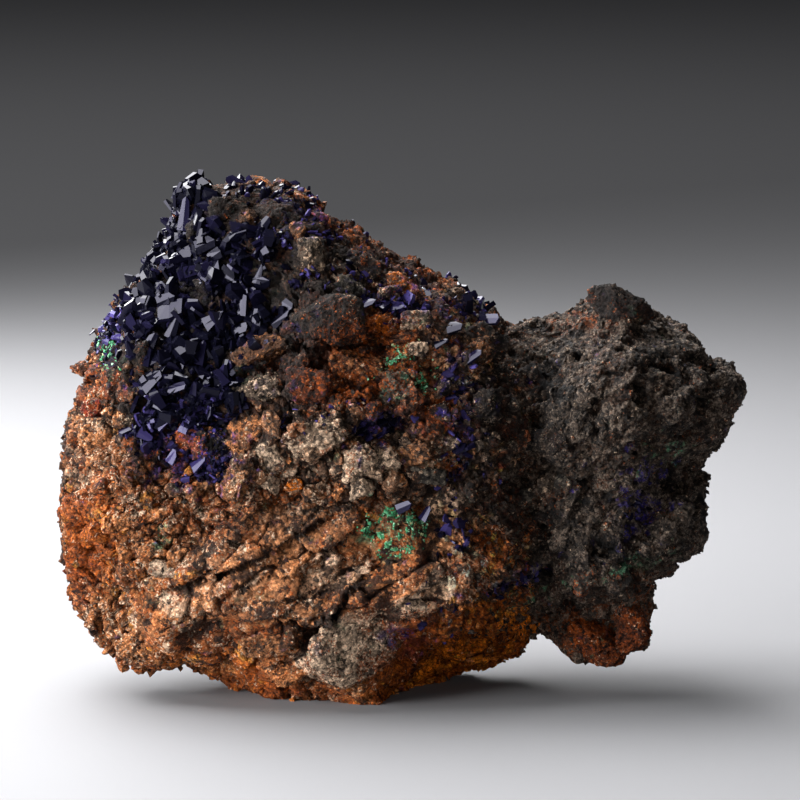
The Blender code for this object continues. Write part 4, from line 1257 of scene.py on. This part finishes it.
random = np.random.RandomState(52)
slants = np.radians([flash.slant for flash in FLASHES])
longs = np.array([flash.long for flash in FLASHES])
wides = np.array([flash.wide for flash in FLASHES])
on_right = np.array([[flash.x > RIGHT_FROM and flash.z > UPPER_FROM] for flash in FLASHES])
through = unit(np.where(on_right, HALFWAY_RIGHT, HALFWAY) + 0.12 * random.normal(size=(len(FLASHES), 3)))
along = np.stack([np.cos(slants), np.zeros(len(FLASHES)), np.sin(slants)], axis=1)
along = unit(along - through * (along * through).sum(axis=1, keepdims=True))
on_shelf = np.array([flash.x > RIGHT_FROM and flash.z < UPPER_FROM for flash in FLASHES])
lifts = np.where(on_shelf, SHELF_LIFT, LIFT)
middles = np.array([front_place(flash.x, flash.z)[0] for flash in FLASHES]) - np.outer(lifts, [0, 1, 0])
points = blade_points(
    random, middles - 0.5 * longs[:, None] * along, (along, np.cross(through, along), through), longs, wides,
    0.35 * wides, 0.0,
)
azurite_piece("azurite_flashing_blades", points, 0.5 * np.array([flash.glow for flash in FLASHES]), [])

# %% [markdown]
# ## Malachite
#
# Malachite grew last, as dull green crusts of tiny round tufts. Each tuft is an eight-sided
# crumb, squashed and dented at random, and hundreds of them overlap.

# %% Green tufts
tuft_ball = np.array([(1, 0, 0), (-1, 0, 0), (0, 1, 0), (0, -1, 0), (0, 0, 1), (0, 0, -1)], dtype=float)
tuft_faces = [(0, 2, 4), (2, 1, 4), (1, 3, 4), (3, 0, 4), (2, 0, 5), (1, 2, 5), (3, 1, 5), (0, 3, 5)]


def crumb_points(random, ball, places, normals, sizes, flatness, dent):
    """Small crumbs: each corner = place + frame @ (size * (1 + dent) * corner), with the axis
    along the normal shortened by the flatness."""
    first, second, third = turned_frames(random, normals, 0.4)
    corner = ball[None] * (1 + dent * random.uniform(-1, 1, (len(places), len(ball), 1)))
    stretch = random.uniform(0.7, 1.3, (len(places), 3)) * [flatness, 1, 1]
    corner = corner * stretch[:, None] * sizes[:, None, None]
    axes = np.stack([first, second, third], axis=1)
    return (places[:, None] + np.einsum("nkj,nji->nki", corner, axes)).reshape(-1, 3)


def crumb_piece(name, points, shape, faces, tint, stain, finish, nodes):
    """A piece of crumbs of one shape, with a tint and a stain each."""
    corners, counts = repeated(faces, len(tint), len(shape))
    tint, stain = np.repeat(tint, len(shape), axis=0), np.repeat(stain, len(shape), axis=0)
    return piece_from(name, points, corners, counts, tint, stain, finish, nodes)


def malachite(name):
    """Dull green: the tint broken up by noise, with a soft sheen of fibres."""
    made, tree, shader = new_finish(name, Roughness=0.6)
    place = tree.nodes.new("ShaderNodeTexCoord").outputs["Object"]
    fibres = node(tree, "ShaderNodeTexNoise", Scale=1800.0, Detail=4.0, Roughness=0.7)
    tree.links.new(place, fibres.inputs["Vector"])
    bright = ramp(tree, fibres.outputs["Fac"], 0.3, 0.7, 0.5, 1.5)
    tree.links.new(scaled(tree, attribute(tree, "tint")["Color"], bright), shader.inputs["Base Color"])
    bump = node(tree, "ShaderNodeBump", Strength=0.6, Distance=0.0003)
    tree.links.new(fibres.outputs["Fac"], bump.inputs["Height"])
    tree.links.new(bump.outputs["Normal"], shader.inputs["Normal"])
    return made


malachite_finish = malachite("malachite")
GREEN_CHANCES = [0.34, 0.26, 0.18, 0.14, 0.08]
GREENS = linear((70, 150, 104), (56, 120, 80), (140, 192, 152), (42, 94, 68), (160, 168, 122))
TUFTS = [
    Nest("malachite_knob_tufts", 15.8, 43.8, 7.8, 5.8, 0, 900, 0.15, 0.45, 0, ["malachite_knob"]),
    Nest("malachite_patch_tufts", 19.0, 82.0, 7.4, 6.8, 0, 620, 0.12, 0.4, 0, ["malachite_patch"]),
    Nest("malachite_edge_tufts", -54.8, 84.0, 2.8, 6.5, 20, 400, 0.2, 0.6, 0, ["malachite_left_edge"]),
]
flecked = eased(layered(rock["points"], 1.8, 410), 0.1, 0.5)
for number, tuft in enumerate(TUFTS):
    random = np.random.RandomState(60 + number)
    places, normals = roots(random, tuft.count, nest_share(tuft) * (0.02 + flecked) + UNLIKELY)
    sizes = random.uniform(tuft.shortest, tuft.longest, tuft.count)
    points = crumb_points(random, tuft_ball, places, normals, sizes, 0.8, 0.3)
    tint = GREENS[random.choice(len(GREENS), tuft.count, p=GREEN_CHANCES)]
    crumb_piece(
        tuft.name, points, tuft_ball, tuft_faces, tint, tint, malachite_finish, tuft.nodes
    )

# %% [markdown]
# ## Clasts
#
# A breccia is broken stones set in a finer fill. The rock's own mesh can't hold an overhang, so
# the stones that stand out are made on their own and half sunk into it. Each starts as a rounded
# box, which random planes then chop, so that it gets flat, broken faces; noise and pits follow.
# The ones that can be told apart in the photograph stand in a table. The rest are scattered.

# %% Stones
Clast = namedtuple("Clast", "x z wide high turn kind")
CLASTS = [
    Clast(-0.2, 95.2, 8.6, 6.0, 0, "brown"), Clast(13.6, 94.8, 3.0, 2.8, 0, "ochre"),
    Clast(-16.3, 87.7, 6.6, 4.3, 25, "peach"), Clast(-17.7, 79.2, 5.8, 3.4, 10, "cream"),
    Clast(-4.2, 78.7, 6.8, 4.4, -10, "rust"), Clast(5.2, 84.3, 7.5, 4.6, -15, "tan"),
    Clast(16.4, 79.2, 5.0, 4.4, 0, "grey"), Clast(-2.8, 67.5, 6.8, 4.2, 30, "cream"),
    Clast(-20.5, 69.0, 5.1, 2.8, 10, "peach"), Clast(-21.0, 64.4, 3.9, 2.8, 0, "peach"),
    Clast(-21.0, 56.7, 4.7, 4.9, 0, "tan"), Clast(-14.0, 62.2, 2.6, 4.0, 30, "cream"),
    Clast(-14.2, 55.6, 2.4, 2.4, 0, "cream"), Clast(-9.3, 59.2, 2.1, 2.0, 0, "cream"),
    Clast(-8.4, 55.2, 2.4, 1.4, 20, "ochre"), Clast(6.6, 60.4, 5.1, 3.5, 20, "cream"),
    Clast(8.0, 54.7, 2.8, 2.8, 0, "cream"), Clast(1.9, 52.4, 2.8, 1.2, 50, "peach"),
    Clast(14.6, 61.6, 4.0, 3.0, 0, "cream"), Clast(6.1, 64.6, 3.7, 1.9, 0, "tan"),
    Clast(21.2, 62.6, 4.2, 2.4, 10, "tan"), Clast(24.0, 57.2, 4.4, 2.2, -10, "grey"),
    Clast(16.2, 56.4, 3.0, 2.2, 20, "peach"), Clast(5.5, 12.5, 11.0, 9.6, 0, "cream"),
    Clast(22.0, 95.2, 5.0, 2.3, 0, "cream"), Clast(34.6, 58.5, 4.2, 2.8, 0, "brown"),
    Clast(37.8, 91.0, 6.0, 4.2, -30, "brown"), Clast(37.0, 73.2, 5.4, 5.0, 0, "brown"),
    Clast(-58.3, 66.0, 2.9, 3.8, 0, "peach"), Clast(-56.8, 73.2, 3.3, 2.5, 0, "red"),
    Clast(-50.8, 45.8, 3.8, 2.1, 0, "peach"), Clast(-42.5, 47.6, 2.9, 2.1, 10, "peach"),
    Clast(-43.3, 40.0, 4.2, 2.5, 0, "peach"), Clast(-39.3, 34.0, 4.0, 2.3, -10, "cream"),
    Clast(-27.5, 64.2, 4.6, 4.2, 0, "black"), Clast(-34.3, 66.8, 3.0, 4.0, 10, "ochre"),
    Clast(-3.8, 111.5, 3.8, 3.8, 0, "cream"), Clast(-10.8, 127.0, 3.0, 1.6, 0, "cream"),
    Clast(-25.8, 123.0, 3.4, 3.0, 0, "brown"), Clast(-20.0, 120.5, 3.2, 2.4, 10, "tan"),
    Clast(-2.0, 121.0, 3.0, 1.4, -45, "ochre"), Clast(-11.5, 121.5, 2.4, 2.0, 0, "brown"),
    Clast(28.5, 66.0, 3.0, 2.2, 20, "cream"), Clast(27.0, 73.0, 3.6, 2.6, -10, "brown"),
    Clast(22.5, 88.5, 3.2, 2.2, 0, "cream"), Clast(32.0, 51.5, 3.0, 2.0, 10, "tan"),
    Clast(-32.5, 118.0, 4.0, 3.0, 40, "brown"), Clast(-7.5, 116.5, 2.0, 3.3, 0, "peach"),
    Clast(6.7, 110.0, 6.5, 4.0, -35, "brown"), Clast(5.0, 103.4, 4.0, 3.0, 0, "grey"),
    Clast(18.3, 103.4, 5.0, 2.6, -35, "ochre"), Clast(-53.0, 79.0, 2.6, 4.4, 0, "rust"),
    Clast(-46.4, 86.2, 3.0, 4.0, 0, "brown"), Clast(63.3, 31.6, 3.3, 3.8, 0, "grey"),
    Clast(45.8, 70.0, 2.9, 2.1, 0, "rust"), Clast(53.0, 54.9, 2.1, 1.7, 0, "cream"),
    Clast(57.5, 55.9, 2.0, 1.7, 0, "grey"), Clast(50.8, 66.7, 3.3, 3.0, 0, "black"),
    Clast(71.7, 77.6, 3.0, 2.5, 0, "brown"), Clast(56.7, 65.0, 2.5, 3.0, 0, "brown"),
    Clast(40.8, 37.2, 4.2, 4.2, 0, "ochre"), Clast(-46.0, 15.0, 5.4, 4.4, 0, "peach"),
    Clast(-9.5, 8.6, 5.6, 3.4, 10, "peach"), Clast(-14.0, 16.4, 7.0, 3.0, 8, "tan"),
    Clast(71.8, 99.4, 7.8, 4.6, 0, "brown"), Clast(44.5, 62.0, 2.6, 2.0, 20, "tan"),
    Clast(47.5, 52.0, 3.0, 2.4, 0, "grey"), Clast(41.0, 48.5, 2.6, 2.0, 10, "cream"),
    Clast(44.0, 81.0, 3.2, 2.2, -20, "grey"), Clast(52.5, 47.5, 3.2, 2.6, 0, "brown"),
    Clast(39.5, 66.5, 2.2, 1.8, 0, "cream"), Clast(66.0, 15.5, 7.2, 6.2, 0, "rust"),
    Clast(75.2, 17.5, 5.4, 6.6, 0, "rust"),
]
FLESH = 0.7
FLAT_STEPS = 10
LARGE_AREA = 15.0


def stone_points(random, places, axes, halves, steps):
    """Stones: a direction is pulled out to a rounded box, |x|^p + |y|^p + |z|^p = 1, chopped by
    nine random planes, stretched to its halves, set in place, and roughened by noise and pits."""
    directions, quads = cube_sphere(steps)
    count = len(places)
    power = random.uniform(4.0, 9.0, (count, 1, 1))
    box = directions[None] / (np.abs(directions[None]) ** power).sum(axis=2, keepdims=True) ** (1 / power)
    for _ in range(9):
        plane = unit(random.normal(size=(count, 1, 3)))
        past = (box * plane).sum(axis=2, keepdims=True) - random.uniform(0.5, 0.92, (count, 1, 1))
        box = box - np.maximum(past, 0) * plane
    points = (places[:, None] + np.einsum("nkj,nji->nki", box * halves[:, None], axes)).reshape(-1, 3)
    all_quads = (quads[None] + len(directions) * np.arange(count)[:, None, None]).reshape(-1, 4)
    normal, _ = outward_normals(points, all_quads)
    room = np.repeat(np.minimum(halves.min(axis=1) * 0.22, 0.55), len(directions))
    pit = 1 - eased(cells(points, 1.3, 601).near, 0.12, 0.34)
    crumb = blocks(points, 1.1, 608, 0.5).height
    rise = crags(points, 2.6, 605) + 0.7 * crags(points, 1.1, 610) + 0.7 * crumb - 1.1 * pit
    points = points + normal * (room * rise)[:, None]
    return points, all_quads, pit


def stone_piece(name, random, places, axes, halves, steps, kinds):
    """A piece of stones with one tint a stone, darker in its pits."""
    points, quads, pit = stone_points(random, places, axes, halves, steps)
    each = len(points) // len(places)
    tint = np.repeat(kinds, each, axis=0)
    mottle = 0.5 + 0.5 * layered(points, 3.2, 620)
    tint = tint * (0.75 + 0.5 * mottle)[:, None] * (1 - 0.7 * pit)[:, None]
    shares = kind_shares(points)
    dark = share_of(shares, "black", "brown", "grey") * 0.7 + 0.42 * mottle
    rust = 0.8 * share_of(shares, "rust", "ochre", "red") + 0.4 * (0.5 + 0.5 * layered(points, 4.0, 625))
    cream = 0.1 + 0.45 * share_of(shares, "cream", "peach", "grey")
    stain = np.clip(np.stack([dark, rust, cream], axis=1), 0, 1)
    made = piece_from(
        name, rest_level(points), quads.reshape(-1), np.full(len(quads), 4), stained(points, tint),
        stain, breccia_finish, ["matrix"],
    )
    if steps > FLAT_STEPS:
        smooth(made)
    return made


random = np.random.RandomState(71)
named_places, named_axes, named_halves, named_tints = [], [], [], []
for clast in CLASTS:
    place, normal = front_place(clast.x, clast.z)
    outward = normal * 0.5 + [0, -0.8, 0]
    outward /= np.linalg.norm(outward)
    turn = math.radians(clast.turn)
    along = np.array([math.cos(turn), 0, math.sin(turn)])
    along -= outward * (along @ outward)
    along /= np.linalg.norm(along)
    deep = FLESH * min(clast.wide, clast.high)
    named_places.append(place + [0, 0.35 * deep, 0])
    named_axes.append([along, np.cross(outward, along), outward])
    named_halves.append([clast.wide, clast.high, deep])
    named_tints.append(KINDS[clast.kind][0] * 0.5 + KINDS[clast.kind][1] * 0.5)
named_places, named_axes, named_halves, named_tints = (
    np.array(rows) for rows in (named_places, named_axes, named_halves, named_tints)
)
big = named_halves[:, :2].prod(axis=1) > LARGE_AREA
for name, chosen, steps in (("large_clasts", big, 18), ("middle_clasts", ~big, 11)):
    stone_piece(
        name, random, named_places[chosen], named_axes[chosen], named_halves[chosen], steps,
        named_tints[chosen],
    )

# %% Scattered stones
MIDDLE_BAND = Oval(-8, 66, 48, 14, 8)
LEFT_SIDE = Oval(-52, 50, 14, 34, 0)
UPPER_SLOPE = Oval(10, 98, 26, 10, -30)
random = np.random.RandomState(72)
shares = kind_shares(rock["points"])
band = oval_share(rock["points"], MIDDLE_BAND) + 0.6 * oval_share(rock["points"], LEFT_SIDE)
band = band + 0.5 * oval_share(rock["points"], UPPER_SLOPE) + 0.25
unbedded = 1 - 0.9 * eased(oval_share(rock["points"], BEDDED), 0.25, 0.5)
suits = outside * band * unbedded * (1 - in_pocket) * (rock_x < 48) * (rock_x > -62)
count = 420
places, normals = roots(random, count, suits + UNLIKELY)
axes = np.stack(turned_frames(random, normals, 0.35), axis=1)
sizes = 0.9 + 2.3 * random.uniform(0, 1, count) ** 2
halves = sizes[:, None] * random.uniform([0.5, 0.7, 0.7], [0.8, 1.4, 1.1], (count, 3))
tints = block_colour(kind_shares(places), random.uniform(0, 1, count), random.uniform(0, 1, count))
stone_piece("small_clasts", random, places, axes, halves, 5, tints * random.uniform(0.7, 1.3, (count, 1)))

# %% Grains
count = 4200
cube = np.array([(x, y, z) for x in (-1, 1) for y in (-1, 1) for z in (-1, 1)]) * 0.7
cube_faces = [(0, 1, 3, 2), (4, 6, 7, 5), (0, 4, 5, 1), (2, 3, 7, 6), (0, 2, 6, 4), (1, 5, 7, 3)]
suits = 0.25 + 0.8 * share_of(shares, "cream", "brown", "grey") + 0.3 * eased(rock_x, 20, 50)
suits = outside * suits
suits = suits * unbedded * (1 - 0.9 * in_pocket)
places, normals = roots(random, count, suits + UNLIKELY)
sizes = 0.3 + 0.75 * random.uniform(0, 1, count) ** 3
points = rest_level(crumb_points(random, cube, places, normals, sizes, 0.75, 0.35))
tint = block_colour(kind_shares(places), random.uniform(0, 1, count), random.uniform(0, 1, count))
on_dark = eased(places[:, 0], 30, 52)[:, None]
tint = mixed(tint, paint(74, 64, 56) * random.uniform(0.5, 1.3, (count, 1)), on_dark)
stain = np.tile([0.3, 0.25, 0.2], (count, 1))
crumb_piece("grains", points, cube, cube_faces, tint, stain, breccia_finish, ["matrix"])

# %% Shards of gossan
count = 9000
random = np.random.RandomState(73)
suits = outside * eased(rock_x, 26, 50)
suits = suits + 0.25 * outside * share_of(shares, "black", "brown") * (1 - in_pocket)
suits = suits * eased(rock_z, 5, 14)
places, normals = roots(random, count, suits + UNLIKELY)
sizes = 0.28 + 0.62 * random.uniform(0, 1, count) ** 2
points = rest_level(crumb_points(random, tuft_ball, places, normals, sizes, 0.6, 0.3))
tint = paint(74, 62, 53) * random.uniform(0.35, 1.3, (count, 1))
stain = np.tile([0.35, 0.25, 0.2], (count, 1))
crumb_piece(
    "gossan_shards", points, tuft_ball, tuft_faces, tint, stain, gossan_finish, ["matrix"]
)

# %% [markdown]
# ## Table, light and camera
#
# The specimen stands on a large pale table in a dim room. The key lamp is low on the left and a
# little in front, so that its light grazes the rock and the blades catch it. A lamp close behind
# lights the rims and the table round the stone, one far off gives the table behind its fade into
# the dark, without a horizon, and a weak one in front opens the shadows. The camera looks a
# little down.

# %% Table
TABLE_REACH = 9.0
table_corners = [(x * TABLE_REACH, y * TABLE_REACH, 0.0) for x, y in ((-1, -1), (1, -1), (1, 1), (-1, 1))]
table_mesh = bpy.data.meshes.new("table")
table_mesh.from_pydata(table_corners, [], [(0, 1, 2, 3)])
table_finish, _, _ = new_finish("pale table", Base_Color=(0.22, 0.22, 0.23, 1), Roughness=0.8)
table_mesh.materials.append(table_finish)
table = bpy.data.objects.new("table", table_mesh)
bpy.context.scene.collection.objects.link(table)

# %% Lamps


def soft_lamp(name, place, aim, size, power):
    """A square area lamp of that size in metres at the place, turned to the aim."""
    data = bpy.data.lights.new(name, "AREA")
    data.size = size
    data.energy = power
    lamp = bpy.data.objects.new(name, data)
    lamp.location = place
    direction = np.array(aim) - np.array(place)
    flat = math.hypot(direction[0], direction[1])
    lamp.rotation_euler = (math.atan2(flat, -direction[2]), 0, math.atan2(-direction[0], direction[1]))
    bpy.context.scene.collection.objects.link(lamp)
    return lamp


middle = (0.0, 0.0, 0.06)
soft_lamp("key", (-0.95, -0.5, 0.24), middle, 0.7, 30)
soft_lamp("back", (-0.3, 0.2, 0.5), (0.0, -0.14, 0.0), 0.8, 21)
soft_lamp("room", (-0.5, 1.4, 1.9), (-0.2, 1.8, 0.0), 1.2, 11)
fill = soft_lamp("front", (0.1, -1.15, 0.16), middle, 0.6, 3.2)
fill.visible_glossy = False
ROOM_TONE = (0.5, 0.5, 0.54, 1)
world = bpy.data.worlds.new("room")
world.use_nodes = True
set_sockets(world.node_tree.nodes["Background"], {"Color": ROOM_TONE, "Strength": 0.05})
bpy.context.scene.world = world

# %% Camera
TILT = math.radians(8)
REACH = 1.1
target = (0.0175, 0.0, 0.0708)
lens = bpy.data.cameras.new("camera")
lens.lens = 198
camera = bpy.data.objects.new("camera", lens)
camera.location = (target[0], -REACH * math.cos(TILT), target[2] + REACH * math.sin(TILT))
camera.rotation_euler = (math.pi / 2 - TILT, 0, 0)
bpy.context.scene.collection.objects.link(camera)
bpy.context.scene.camera = camera
bpy.context.scene.view_settings.view_transform = "Standard"
